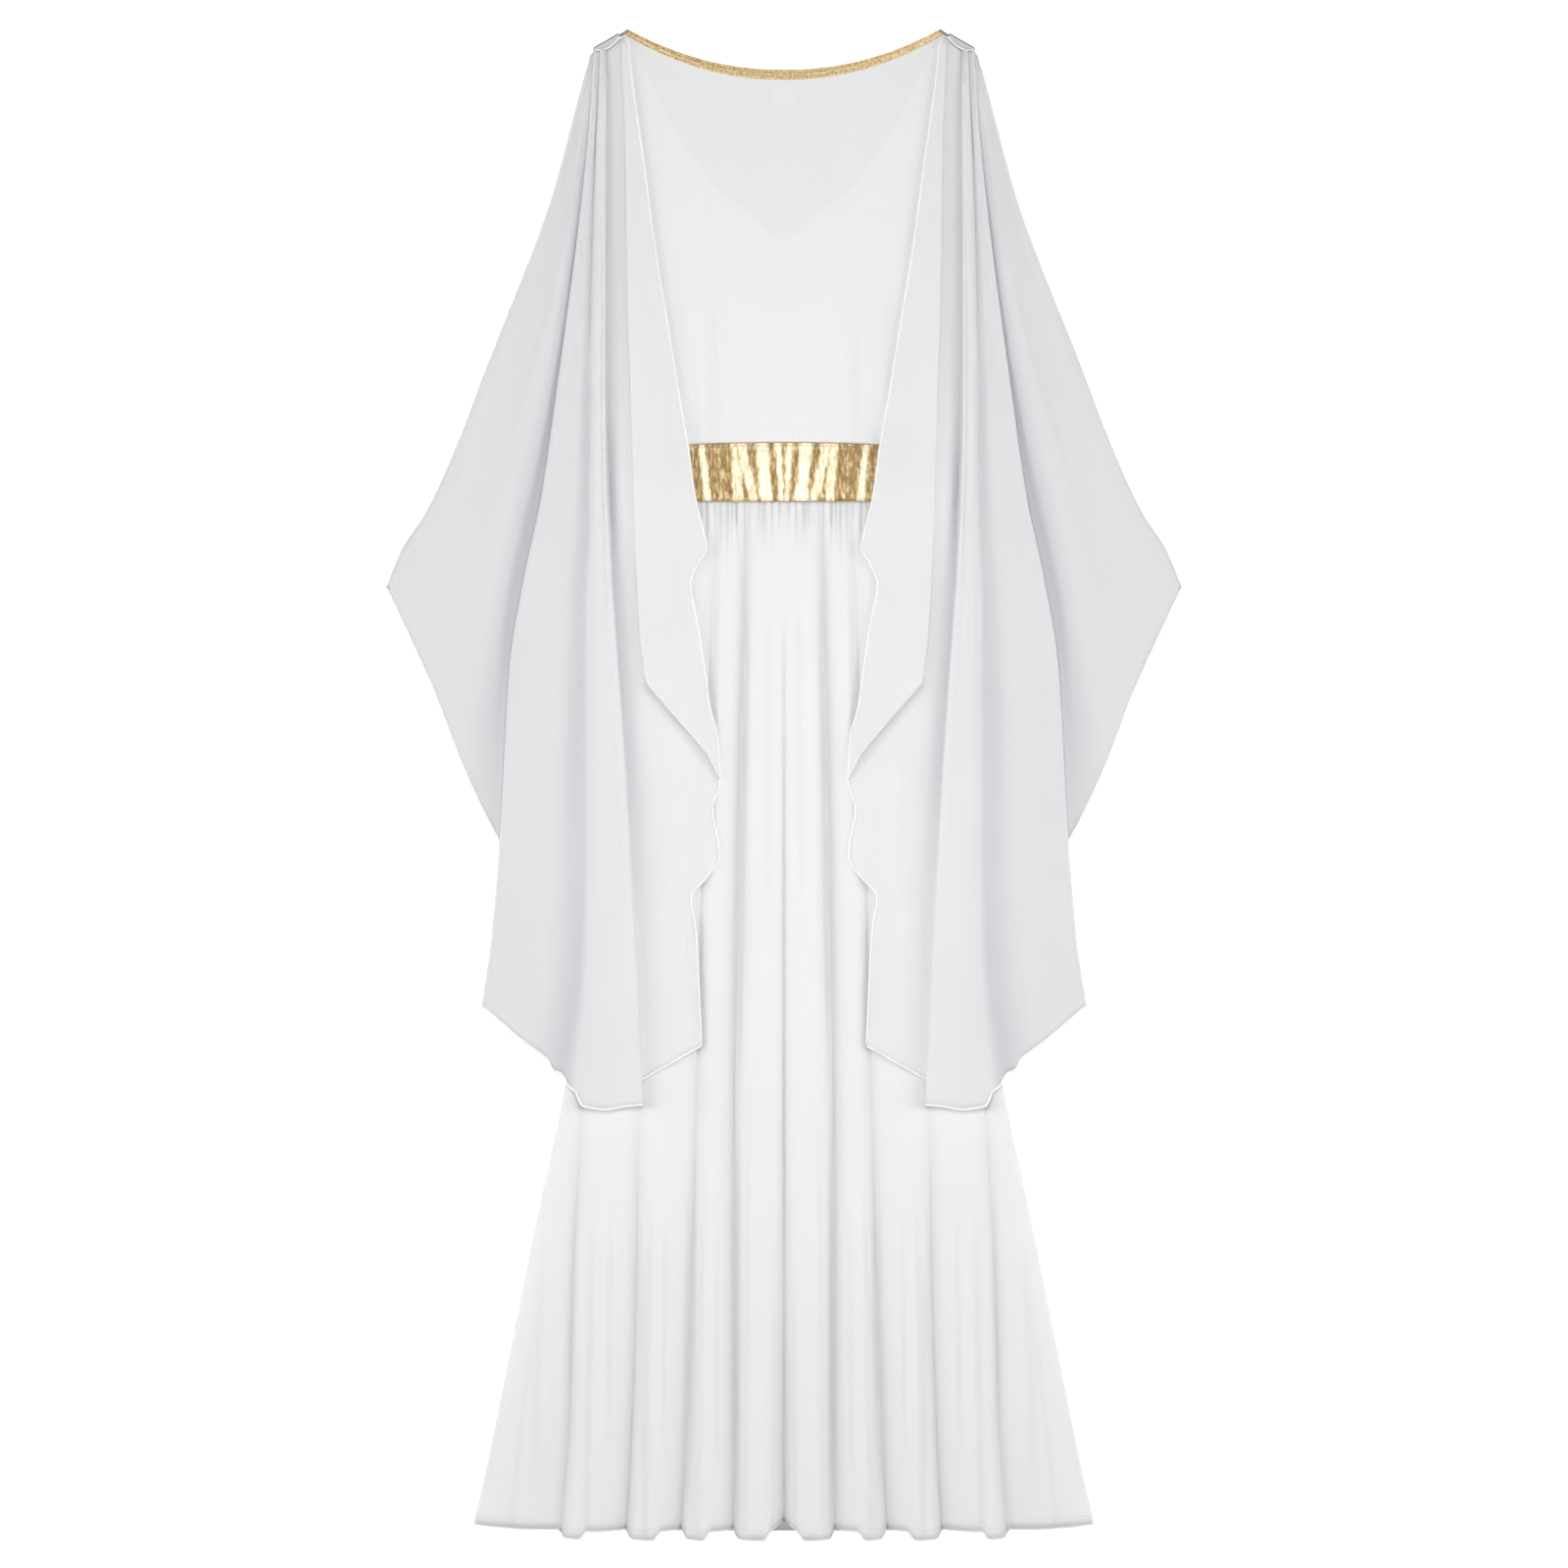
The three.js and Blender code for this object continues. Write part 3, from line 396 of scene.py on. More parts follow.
def stitches(name, path, pitch=3.2, long=2.3, radius=0.28):
    """Raised stitches, end to end along a path of (x, down, z) points."""
    p = np.array(path, dtype=float)
    run = np.concatenate([[0], np.cumsum(np.linalg.norm(np.diff(p, axis=0), axis=1))])
    items = []
    for at in np.arange(pitch / 2, run[-1], pitch):
        ahead, back = min(at + long / 2, run[-1]), max(at - long / 2, 0)
        centre, a, b = (np.array([np.interp(d, run, p[:, k]) for k in range(3)]) for d in (at, back, ahead))
        items.append((centre, b - a, long / 2, radius, 0.8))
    return grains(name, items, 4)


def join(name, parts):
    """One object from several, in the frame's own place."""
    verts, faces = [], []
    for part in parts:
        base = len(verts)
        verts += [tuple(v.co) for v in part.data.vertices]
        faces += [tuple(base + i for i in poly.vertices) for poly in part.data.polygons]
        bpy.data.objects.remove(part)
    return mesh_object(name, verts, faces)


def mirror(obj, name):
    """A copy on the other side of the centre line."""
    mesh = obj.data.copy()
    mesh.transform(Matrix.Diagonal((-1, 1, 1, 1)))
    mesh.flip_normals()
    return link(name, mesh)


# Materials
def material(name, colour, roughness, metallic=0.0, sheen=0.0, specular=0.3):
    mat = bpy.data.materials.new(name)
    mat.use_nodes = True
    bsdf = mat.node_tree.nodes["Principled BSDF"]
    uniform = {
        "Base Color": (*colour, 1), "Roughness": roughness, "Metallic": metallic, "Sheen Weight": sheen,
        "Sheen Roughness": 0.5, "Specular IOR Level": specular,
    }
    for key, value in uniform.items():
        bsdf.inputs[key].default_value = value
    return mat, mat.node_tree, bsdf


def feed(tree, target, value):
    if isinstance(value, bpy.types.NodeSocket):
        tree.links.new(value, target)
    else:
        target.default_value = value


def node(tree, kind, **inputs):
    made = tree.nodes.new(kind)
    for key, value in inputs.items():
        feed(tree, made.inputs[key.replace("_", " ")], value)
    return made


def times_plus(tree, a, factor, b=0.0):
    """a times a factor, plus b."""
    made = tree.nodes.new("ShaderNodeMath")
    made.operation = "MULTIPLY_ADD"
    for target, value in zip(made.inputs, (a, factor, b)):
        feed(tree, target, value)
    return made.outputs[0]


def ramp(tree, value, stops):
    made = tree.nodes.new("ShaderNodeValToRGB")
    tree.links.new(value, made.inputs[0])
    while len(made.color_ramp.elements) < len(stops):
        made.color_ramp.elements.new(0.5)
    for element, (place, colour) in zip(made.color_ramp.elements, stops):
        element.position = place
        element.color = (*colour, 1)
    return made.outputs[0]


def object_place(tree):
    return tree.nodes.new("ShaderNodeTexCoord").outputs["Object"]


def noise(tree, place, scale, detail, **more):
    return node(tree, "ShaderNodeTexNoise", Vector=place, Scale=scale, Detail=detail, **more).outputs["Fac"]


def emboss(tree, bsdf, height, strength, distance):
    made = node(tree, "ShaderNodeBump", Height=height, Strength=strength, Distance=distance)
    tree.links.new(made.outputs["Normal"], bsdf.inputs["Normal"])


def cloth_material(name, colour, shade, thread, painted_shade_colour=None, roughness=0.8):
    """Woven cloth: crossed threads of a given width in mm, faint blotches between two close colours. The last
    colour is its painted shade: its tone where the mesh's value of painted light and shade is 0, in its folds,
    hollows and creases and where no other cloth lies under it to show through."""
    mat, tree, bsdf = material(name, colour, roughness, sheen=0.25, specular=0.2)
    coords = object_place(tree)
    across, along_thread = 1000 / thread, 1000 / thread / 14
    weave = 0.0
    for scale in ((across, along_thread, across), (along_thread, across, across)):
        stretched = node(tree, "ShaderNodeMapping", Vector=coords, Scale=scale).outputs[0]
        weave = times_plus(tree, noise(tree, stretched, 1.0, 1.0), 1.0, weave)
    height = times_plus(tree, noise(tree, coords, 240.0, 3.0), 0.8, weave)
    emboss(tree, bsdf, height, 0.2, 0.0002)
    colour_out = ramp(tree, noise(tree, coords, 9.0, 2.0), [(0.3, shade), (0.7, colour)])
    if painted_shade_colour:
        # painted light and shade: the mesh's value turns the cloth from its painted shade colour at 0 to its
        # full colour at 1
        grey = ramp(tree, attribute(tree, "painted_light_and_shade"), [(0.0, painted_shade_colour), (1.0, (1, 1, 1))])
        colour_out = multiply(tree, colour_out, grey)
    tree.links.new(colour_out, bsdf.inputs["Base Color"])
    return mat


def attribute(tree, name):
    reader = tree.nodes.new("ShaderNodeAttribute")
    reader.attribute_name = name
    return reader.outputs["Fac"]


def multiply(tree, a, b):
    made = tree.nodes.new("ShaderNodeMix")
    made.data_type = "RGBA"
    made.blend_type = "MULTIPLY"
    made.inputs[0].default_value = 1.0
    tree.links.new(a, made.inputs[6])
    tree.links.new(b, made.inputs[7])
    return made.outputs[2]


def gold_cloth(name, streaked):
    """Foil-faced cloth: streaks that run down it, a fine grain and, where streaked, painted highlights on its
    ridges from the mesh's value of painted light and shade.
    """
    mat, tree, bsdf = material(name, (0.6, 0.45, 0.22), 0.46, metallic=0.45)
    coords = object_place(tree)
    stretch = node(tree, "ShaderNodeMapping", Vector=coords, Scale=(1.0, 0.2, 1.0)).outputs[0]
    streak = noise(tree, stretch, 480.0, 4.0, Roughness=0.7)
    clear = node(tree, "ShaderNodeMapRange", Value=streak, From_Min=0.38, From_Max=0.63).outputs[0]
    grain = noise(tree, coords, 1500.0, 2.0)
    tone = times_plus(tree, clear, 0.42, times_plus(tree, grain, 0.24))
    if streaked:
        # painted highlights on the back waistband's ridges
        tone = times_plus(tree, attribute(tree, "painted_light_and_shade"), 0.6, tone)
    dark_to_pale = [
        (0.12, (0.2, 0.115, 0.04)), (0.36, (0.34, 0.222, 0.09)),
        (0.62, (0.72, 0.58, 0.34)), (0.86, (0.95, 0.89, 0.68)),
    ]
    tree.links.new(ramp(tree, tone, dark_to_pale), bsdf.inputs["Base Color"])
    rough = node(tree, "ShaderNodeMapRange", Value=streak, To_Min=0.38, To_Max=0.54).outputs[0]
    tree.links.new(rough, bsdf.inputs["Roughness"])
    emboss(tree, bsdf, times_plus(tree, streak, 2.5, grain), 0.5, 0.0004)
    return mat


def gold_thread(name, dark, light):
    mat, tree, bsdf = material(name, light, 0.42, metallic=0.5)
    glint = noise(tree, object_place(tree), 560.0, 4.0)
    tree.links.new(ramp(tree, glint, [(0.4, dark), (0.6, light)]), bsdf.inputs["Base Color"])
    emboss(tree, bsdf, glint, 0.35, 0.0002)
    return mat


GOWN_LIGHT, GOWN_SHADE = (0.801, 0.799, 0.799), (0.791, 0.789, 0.79)
CAPE_LIGHT, CAPE_SHADE = (0.77, 0.77, 0.777), (0.755, 0.754, 0.763)
gown_cloth = cloth_material("gown_cloth", GOWN_LIGHT, GOWN_SHADE, 0.5)
# the last colour of the skirt, bodice and cape cloths is painted shade, for their folds and hollows and where
# no cloth lies under them to show through
skirt_cloth = cloth_material("skirt_cloth", GOWN_LIGHT, GOWN_SHADE, 0.5, (0.84, 0.84, 0.845))
bodice_cloth = cloth_material("bodice_cloth", GOWN_LIGHT, GOWN_SHADE, 0.5, (0.969, 0.969, 0.969))
cape_cloth = cloth_material("cape_cloth", CAPE_LIGHT, CAPE_SHADE, 0.35, (0.72, 0.715, 0.75))
hem_cloth = cloth_material("rolled_hem", (0.94, 0.94, 0.945), (0.9, 0.9, 0.91), 0.3)
satin = cloth_material("white_binding", (0.93, 0.93, 0.93), (0.89, 0.89, 0.89), 0.3, roughness=0.4)
strip_satin = cloth_material("grey_satin", (0.7, 0.7, 0.71), (0.62, 0.62, 0.63), 0.3, roughness=0.4)
thread_white = cloth_material("white_thread", (0.76, 0.76, 0.77), (0.66, 0.66, 0.67), 0.2)
thread_grey = cloth_material("grey_thread", (0.16, 0.16, 0.17), (0.1, 0.1, 0.11), 0.2)
lame = gold_cloth("gold_lame", True)
lame_front = gold_cloth("gold_lame_front", False)
braid_bright = gold_thread("braid_bright", (0.74, 0.52, 0.22), (1.0, 0.92, 0.62))
braid_orange = gold_thread("braid_orange", (0.6, 0.38, 0.14), (0.98, 0.78, 0.42))
braid_brown = gold_thread("braid_brown", (0.46, 0.31, 0.13), (0.9, 0.72, 0.4))
braid_dark = gold_thread("braid_dark", (0.16, 0.12, 0.06), (0.5, 0.38, 0.18))
seam_gold = gold_thread("gold_seam", (0.34, 0.18, 0.08), (0.56, 0.34, 0.16))


def dress(obj, mat, node_name=None):
    obj.data.materials.clear()
    obj.data.materials.append(mat)
    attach(obj, "root")
    if node_name:
        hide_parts(node_name)
    return obj


def panel(node_name, grid, thick, mat, values=None):
    """The visible shell that replaces a node."""
    return dress(shell(f"{node_name}_cloth", grid, thick, values), mat, node_name)


# Camera: straight above, its frame 1.52 m wide at the cloth's height, as the photo's 1600 pixels at 0.95 mm
LENS, SENSOR = 100, 36
FRAME_HALF, CLOTH_HEIGHT = 0.76, 0.006
camera_data = bpy.data.cameras.new("camera")
camera_data.lens = LENS
camera_data.sensor_width = SENSOR
camera = link("camera", camera_data)
camera.location = (0, 0, FRAME_HALF / (SENSOR / 2 / LENS) + CLOTH_HEIGHT)
bpy.context.scene.camera = camera


# Bodice
def crease_height(table, out, down):
    """Sum of the soft creases at a place. Each fades at its ends, or runs on into a seam."""
    total = 0.0
    for x0, d0, x1, d1, half, high, *into_seam in table:
        length2 = (x1 - x0) ** 2 + (d1 - d0) ** 2
        t = ((out - x0) * (x1 - x0) + (down - d0) * (d1 - d0)) / length2
        if not 0 < t < 1:
            continue
        away = abs((out - x0) * (d1 - d0) - (down - d0) * (x1 - x0)) / math.sqrt(length2)
        if away < half:
            total += high * bump(away / half) * ease(t * 3) * (1 if into_seam else 1 - ease((t - 0.7) / 0.3))
    return total


def values_at(grid, value):
    """A value for each point of a grid, from its place."""
    return [[value(x, down) for x, down, z in row] for row in grid]


def drawn(count, *ranges):
    """Rows of random numbers, one from each range."""
    return [[random.uniform(*limits) for limits in ranges] for _ in range(count)]


# creases: from out, down to out, down, half width, height, and True where it ends in a seam
BODICE_CREASES = [
    (70, 262, 62, 400, 7, 1.2, True), (84, 300, 80, 400, 5, 0.9, True), (52, 330, 49, 400, 5, 0.8, True),
    (24, 345, 26, 400, 6, 0.7, True), (8, 366, 9, 400, 4, 0.6, True), (38, 360, 37, 400, 4, 0.7, True),
    (101, 345, 96, 400, 5, 0.9, True), (118, 130, 108, 225, 12, 0.9), (40, 120, 20, 250, 16, 0.4),
    (96, 90, 60, 200, 18, 0.5),
]


def bodice_grid(neck, height, columns, rows):
    grid = []
    for v in steps(rows):
        half = bodice_half(mix(TIP_DOWN, BAND_TOP - SEAM, v))
        row = []
        for place in across(TIP_OUT, columns):
            x = place / TIP_OUT * half
            end = band_top(place / TIP_OUT * bodice_half(BAND_TOP)) - SEAM
            down = mix(neck(abs(place)), end, v)
            row.append((x, down, height(x, down)))
        grid.append(row)
    return grid


def fine_bodice_height(x, down):
    return bodice_height(x, down) + crease_height(BODICE_CREASES, abs(x), down)


# painted shade on the bodice's cloth where it is drawn in above the waistband, and beside the cape's edge,
# which shades it
BODICE_PAINTED_SHADE = [("down", "drawn", "edge"), (240, 0, 0), (290, 0.5, 0.9), (350, 1, 0.6), (400, 0.9, 0)]
DRAWN_SHADE_OUT, DRAWN_SHADE_HALF = 67, 11
EDGE_SHADE_OUT, EDGE_SHADE_HALF = 101, 11


def back_painted_light_and_shade(x, down):
    """Painted light and shade on the back's cloth: 1 where the front panel lies under it and shows through,
    less in its V neck, more at the label, which shows through too, and less in the painted shade where the
    cloth is drawn in above the waistband and beside the cape's edge."""
    out = abs(x)
    within = down - along(FRONT_NECK, "down", out)
    value = ease((within + 3) / 6) + 0.12 * bump((within - 6) / 8)
    below = down - LABEL_DOWN
    inside = min(LABEL_WIDE / 2 - out, below, LABEL_DEEP - below)
    value = max(value, 0.6 * ease(inside / 2))
    value -= along(BODICE_PAINTED_SHADE, "drawn", down) * bump((out - DRAWN_SHADE_OUT) / DRAWN_SHADE_HALF)
    value -= along(BODICE_PAINTED_SHADE, "edge", down) * bump((out - EDGE_SHADE_OUT) / EDGE_SHADE_HALF)
    return clamp(value)


back_grid = bodice_grid(back_neck, fine_bodice_height, 70, 130)
# painted show-through light and painted shade of the back bodice, as the mesh's value for its colour
painted_light_and_shade = values_at(back_grid, back_painted_light_and_shade)
back_bodice = panel("back_bodice", back_grid, THIN, bodice_cloth, painted_light_and_shade)
front_grid = bodice_grid(front_neck, lambda x, d: FRONT_MID, 60, 60)
front_bodice = panel("front_bodice", front_grid, FRONT_THIN, gown_cloth)

# Blank label sewn inside the back neck
label_places = across(LABEL_WIDE / 2, 3)
label_grid = [[(x, LABEL_DOWN + g * LABEL_DEEP, LABEL_MID) for x in label_places] for g in steps(10)]
label = panel("neck_label", label_grid, THIN, satin)
corners = [(-11.5, 1.5), (11.5, 1.5), (11.5, 22.5), (-11.5, 22.5), (-11.5, 1.5)]
label_path = [(x, LABEL_DOWN + d, LABEL_MID - 0.3) for x, d in corners]
label_sewn = stitches("neck_label_stitches", label_path, 2.4, 1.7, 0.15)
label_stitches = dress(label_sewn, thread_white)


# Skirt
SKIRT_CREASES = [
    (17, 470, 22, 900, 9, -0.9), (29, 520, 33, 1000, 6, 0.7), (0, 600, 0, 1240, 3.2, -1.8),
    (37, 480, 46.5, 1060, 4.5, -3), (60, 480, 64, 800, 7, 0.9), (12, 1180, 14, 1456, 5, -1.1, True),
    (30, 1010, 33, 1456, 8, 0.9, True), (47.5, 1010, 48, 1500, 5, -2), (87.5, 1060, 98, 1500, 5, -2),
    (60, 1130, 62, 1430, 6, 1.1), (74, 1090, 80, 1456, 5, 1.2, True), (86, 1160, 91, 1456, 5, -1.0, True),
    (111, 1120, 113, 1400, 6, 1.1), (124, 1100, 131, 1456, 7, 1.4, True), (138, 1180, 141, 1430, 5, -1.2),
    (163, 1110, 166, 1400, 9, 1.3), (180, 1120, 186, 1456, 10, 1.5, True), (199, 1110, 205, 1380, 7, 1.3),
    (226, 1150, 238, 1430, 12, 1.6), (246, 1230, 270, 1456, 10, -1.3, True), (262, 1290, 288, 1430, 8, 1.1),
]
# fine gathers below the waistband: place, half width, depth, and how far down each runs
FINE_GATHERS = drawn(56, (0, 138), (1.1, 2.2), (0.7, 1.5), (16, 66))
FINE_END = 60


def fine_gathers(out, below):
    return sum(
        deep * bump((out - at) / half) * (1 - ease(below / run)) for at, half, deep, run in FINE_GATHERS
    )


def fine_skirt_height(x, down):
    out, below = abs(x), down - BAND_END
    fine = fine_gathers(out, below) if below < FINE_END else 0.0
    return max(skirt_height(x, down) + crease_height(SKIRT_CREASES, out, down) - fine, BACK_MID - 0.2)


# painted shade in a gather's line, in a fine gather, in the centre line's crease and in other creases
GATHER_LINE_SHADE, FINE_GATHER_SHADE, CENTRE_LINE_SHADE, SKIRT_CREASE_SHADE = 1.25, 0.5, 0.85, 0.32
GATHER_SHADE_RUN = 80  # how far below the waistband the longest dim line of a gather runs
# how far out from a fold's line its painted shade reaches, in mm, and how dark it is at each line
SHADE_REACH = 11
SHADE_LINES = [
    ("down", 0, 1, 2, 3, 4), (457, 0, 0.3, 0, 0, 0), (540, 0.1, 1, 0.3, 0.1, 0),
    (850, 0.3, 0.9, 0.3, 0.2, 0), (1050, 0.5, 0.8, 0.5, 0.3, 0.3), (1180, 0.8, 0.5, 0.4, 0.6, 0.6),
    (1463, 0.5, 0.2, 0.2, 0.4, 0.7),
]


def skirt_painted_shade(x, down):
    """1 on a fold's crest, less down in the line beside it and in its gathers and creases: painted shade where
    the folds shade the cloth.
    """
    out, below = abs(x), down - BAND_END
    i, f = fold_at(out, down)
    tone = 1.0
    for line in (i, i + 1):
        if line < 5:
            away = abs(out - trough_out(line, down)) / SHADE_REACH
            tone -= along(SHADE_LINES, line, down) * max(1 - away, 0) ** 1.5
    if below < GATHER_SHADE_RUN:
        for k, at in enumerate(GATHERS[1:]):
            run = mix(0.35, 1, k * 3 % 5 / 4) * GATHER_SHADE_RUN
            tone -= GATHER_LINE_SHADE * bump((out - at) / 2) * (1 - ease(below / run))
        tone -= FINE_GATHER_SHADE * fine_gathers(out, below)
    tone -= CENTRE_LINE_SHADE * bump(out / 3.4) * ease((down - 560) / 80) * (1 - ease((down - 1060) / 160))
    side = crease_height(SKIRT_CREASES, out - 3, down) - crease_height(SKIRT_CREASES, out + 3, down)
    return clamp(tone - SKIRT_CREASE_SHADE * max(side, 0))


def skirt_grid():
    top = BAND_END + SEAM
    keys = across(5, 140)
    levels = [mix(top, 620, f) for f in steps(46)] + [mix(620, HEM_DOWN, f) for f in steps(92)[1:]]
    grid = []
    for level in levels:
        share = ease((level - 1100) / (HEM_DOWN - 1100))
        row = []
        for key in keys:
            i = min(int(abs(key)), 4)
            out = mix(trough_out(i, level), trough_out(i + 1, level), abs(key) - i)
            hem_out = mix(trough_out(i, HEM_DOWN), trough_out(i + 1, HEM_DOWN), abs(key) - i)
            x = math.copysign(out, key)
            down = level + share * (hem_of(hem_out) - HEM_DOWN)
            row.append((x, down, fine_skirt_height(x, level)))
        grid.append(row)
    return grid


skirt = skirt_grid()
# the back skirt's painted shade in its folds, gathers and creases, as the mesh's value for its colour
back_skirt = panel("back_skirt", skirt, THIN, skirt_cloth, values_at(skirt, skirt_painted_shade))
back_hem = dress(tube("back_skirt_hem", skirt[-1], 0.55), gown_cloth)
HEM_FOLD = 9.5  # depth of the turned hem, to its line of stitches


def hem_line(row, above):
    """A path along a panel's last row, a little above it, on the panel's upper face."""
    return [(x, down - above, z + THIN / 2 + 0.1) for x, down, z in row]


hem_sewn = stitches("back_skirt_stitches", hem_line(skirt[-1], HEM_FOLD))
back_stitches = dress(hem_sewn, thread_white)
front_rows = []
for v in steps(60):
    level = mix(BAND_END + SEAM, HEM_DOWN + 1, v)
    half = skirt_half(level)
    front_rows.append([(f * half, level - 7 * abs(f) ** 3 * v, FRONT_MID) for f in across(1, 30)])
front_skirt = panel("front_skirt", front_rows, FRONT_THIN, gown_cloth)


# Seams and narrow hems along the gown's edges
def side_path(side, start, end, z):
    return [(side * gown_half(d), d, z) for d in (mix(start, end, f) for f in steps(80))]


SIDE_START, ARMHOLE_END, SIDE_END = 24, 215, 1447
SIDE_MID = 1.25  # height of the side seams, between front and back
edges = []
for side in (1, -1):
    edges.append(tube("edge", side_path(side, ARMHOLE_END, BAND_TOP - SEAM, SIDE_MID), 0.7))
    edges.append(tube("edge", side_path(side, BAND_END + SEAM, SIDE_END, SIDE_MID), 0.7))
    for z in (FRONT_MID, BACK_MID):
        edges.append(tube("edge", side_path(side, SIDE_START, ARMHOLE_END, z), 0.55))
side_seams = dress(join("side_seams", edges), gown_cloth)
v_path = [(x, front_neck(abs(x)) + 0.4, FRONT_MID) for x in across(150, 60)]
front_neck_hem = dress(tube("front_neck_hem", v_path, 0.5), gown_cloth)


# Waistband
# its raised streaks, which also carry painted highlights: from and to at the upper seam, from and to at the
# lower seam, and how light each is
STREAKS = [
    (2.6, 9.3, 0, 4.2, 0.95), (16, 27, 11, 22.5, 1), (37, 47, 25, 33, 0.82), (43, 53, 40, 49, 0.74),
    (62, 66, 58, 61, 0.2), (77, 83.5, 70.5, 78.5, 0.92), (93, 99, 90, 95, 0.7), (107, 116, 105, 113, 0.8),
    (124, 133, 122, 131, 0.7),
]
# its fine creases: place, lean, half width, height, and how far down it each reaches
BAND_FINE = drawn(70, (0, BAND_HALF), (-5, 2), (1.0, 2.4), (-0.45, 0.5), (0.5, 1))


def band_share(x, down):
    return clamp((down - band_top(x)) / (BAND_END - band_top(x)))


def streak_at(x, f):
    out = abs(x)
    best = 0.0
    for top_low, top_high, low, high, light in STREAKS:
        waver = 0.45 * math.sin(f * 8 + top_low) + 0.25 * math.sin(f * 27 + top_high)
        a, b = mix(top_low, low, f) + waver, mix(top_high, high, f) - waver * 0.6
        best = max(best, light * ease((out - a + 2) / 4.4) * ease((b - out + 2) / 4.4))
    return best


def fine_band_height(x, down):
    out = abs(x)
    f = band_share(x, down)
    extra = sum(
        high * bump((out - at - lean * f) / half) * math.sin(math.pi * clamp(f * tall, 0.03, 0.97))
        for at, lean, half, high, tall in BAND_FINE
    )
    seam = -0.5 * (bump((f - 0.045) / 0.03) + bump((f - 0.955) / 0.03))
    return 2.3 + 1.35 * streak_at(x, f) * math.sin(math.pi * clamp(f, 0.1, 0.9)) + extra * 0.7 + seam


def band_painted_highlight(x, down):
    """Painted highlight on the foil cloth: light where its ridges catch the light, less towards its seams, and
    a painted pale line just inside each seam.
    """
    f = band_share(x, down)
    seam_painted_highlight = 0.14 * (bump((f - 0.08) / 0.06) + bump((f - 0.91) / 0.1) * (1 + math.sin(x * 0.9)))
    return min(streak_at(x, f) * (0.8 + 0.2 * math.sin(math.pi * f)) + seam_painted_highlight, 1)


def band_line(f, lift):
    places = across(BAND_HALF, 120)
    downs = [mix(band_top(x), BAND_END, f) for x in places]
    return [(x, down, fine_band_height(x, down) + lift) for x, down in zip(places, downs)]


band_grid = [band_line(f, 0) for f in steps(46)]
# the back waistband's painted highlights, as the mesh's value for its colour
back_band = panel("back_waistband", band_grid, BAND_THIN, lame, values_at(band_grid, band_painted_highlight))
front_places = across(BAND_HALF, 30)
front_band_grid = [[(x, mix(band_top(x), BAND_END, f), FRONT_MID) for x in front_places] for f in steps(4)]
front_band = panel("front_waistband", front_band_grid, FRONT_THIN, lame_front)
band_edges = [tube("edge", band_line(f, 0.35), 0.4) for f in (0.006, 0.994)]
band_piping = dress(join("waistband_piping", band_edges), seam_gold)
band_seams = [stitches("seam", band_line(f, 0.6), 2.6, 1.7, 0.2) for f in (0.045, 0.955)]
band_stitches = dress(join("waistband_stitches", band_seams), seam_gold)


# Braid along the back neck: a tape under three rows of slanted strands
BRAID_WIDE, BRAID_PAST = 9.2, 0.6
BRAID_PITCH = 2.05
BRAID_END_OUT, BRAID_END_DOWN = 158.6, 5.6
# where its upper edge ends, how much further out each mm below it does, and how far the edge is measured
BRAID_END, BRAID_SLANT, BRAID_REACH = 150.8, 0.8, 158


def neck_slope(out):
    at = clamp(out - 1, 0, NECK_HALF - 1)
    return back_neck(at) - back_neck(at + 1)


def braid_edge(out):
    """The neck's edge, which runs straight on past its corner."""
    return back_neck(min(out, NECK_HALF)) - neck_slope(out) * max(out - NECK_HALF, 0)


def neck_place(out_signed, below):
    """A point at a depth below the neck's edge, and the edge's direction there."""
    out = abs(out_signed)
    slope = math.copysign(neck_slope(out), out_signed)
    size = math.hypot(slope, 1)
    x, down = out_signed - slope / size * below, braid_edge(out) + below / size
    return (x, down), (1 / size, -slope / size)


def braid_half(below):
    return BRAID_END + BRAID_SLANT * max(below, 0)


tape_grid = []
for k in range(5):
    below = mix(-BRAID_PAST, BRAID_WIDE - BRAID_PAST, k / 4)
    tape_row = [neck_place(f * braid_half(below), below)[0] for f in across(1, 90)]
    tape_grid.append([(x, down, 3.0) for x, down in tape_row])
tape_grid = list(zip(*tape_grid))
dress(shell("neck_braid_tape", tape_grid, 0.4), braid_brown, "neck_braid")
braid_rows = []
edge_run = [0.0]
edge_places = [mix(-BRAID_REACH, BRAID_REACH, f) for f in steps(900)]
for a, b in zip(edge_places, edge_places[1:]):
    edge_run.append(edge_run[-1] + math.hypot(b - a, braid_edge(abs(b)) - braid_edge(abs(a))))
# rows of strands: how far below the edge, lean, height, material
STRANDS = [(0.75, -0.75, 3.35, braid_brown), (3.95, 0.75, 3.6, braid_bright), (7.1, -0.75, 3.4, braid_orange)]
for k, (below, lean, high, mat) in enumerate(STRANDS):
    items = []
    for at in np.arange(BRAID_PITCH * (0.5 + 0.25 * k), edge_run[-1], BRAID_PITCH):
        x = float(np.interp(at, edge_run, edge_places))
        if abs(x) > braid_half(below):
            continue
        (px, pd), (tx, td) = neck_place(x, below)
        tilt = lean + random.uniform(-0.08, 0.08)
        c, s = math.cos(tilt), math.sin(tilt)
        direction = (tx * c - td * s, td * c + tx * s, 0.25)
        items.append(((px, pd, high + random.uniform(-0.06, 0.06)), direction, 2.15, 0.82, 0.75))
    braid_rows.append(dress(grains(f"neck_braid_row_{k + 1}", items, 6), mat))
ends = []
for side in (1, -1):
    for f in steps(5):
        out, down = mix(NECK_HALF - 0.2, BRAID_END_OUT, f), mix(1, BRAID_END_DOWN, f)
        ends.append(((side * out, down, 4.7), (side * 0.45, 1, 0), 1.6, 1.1, 0.9))
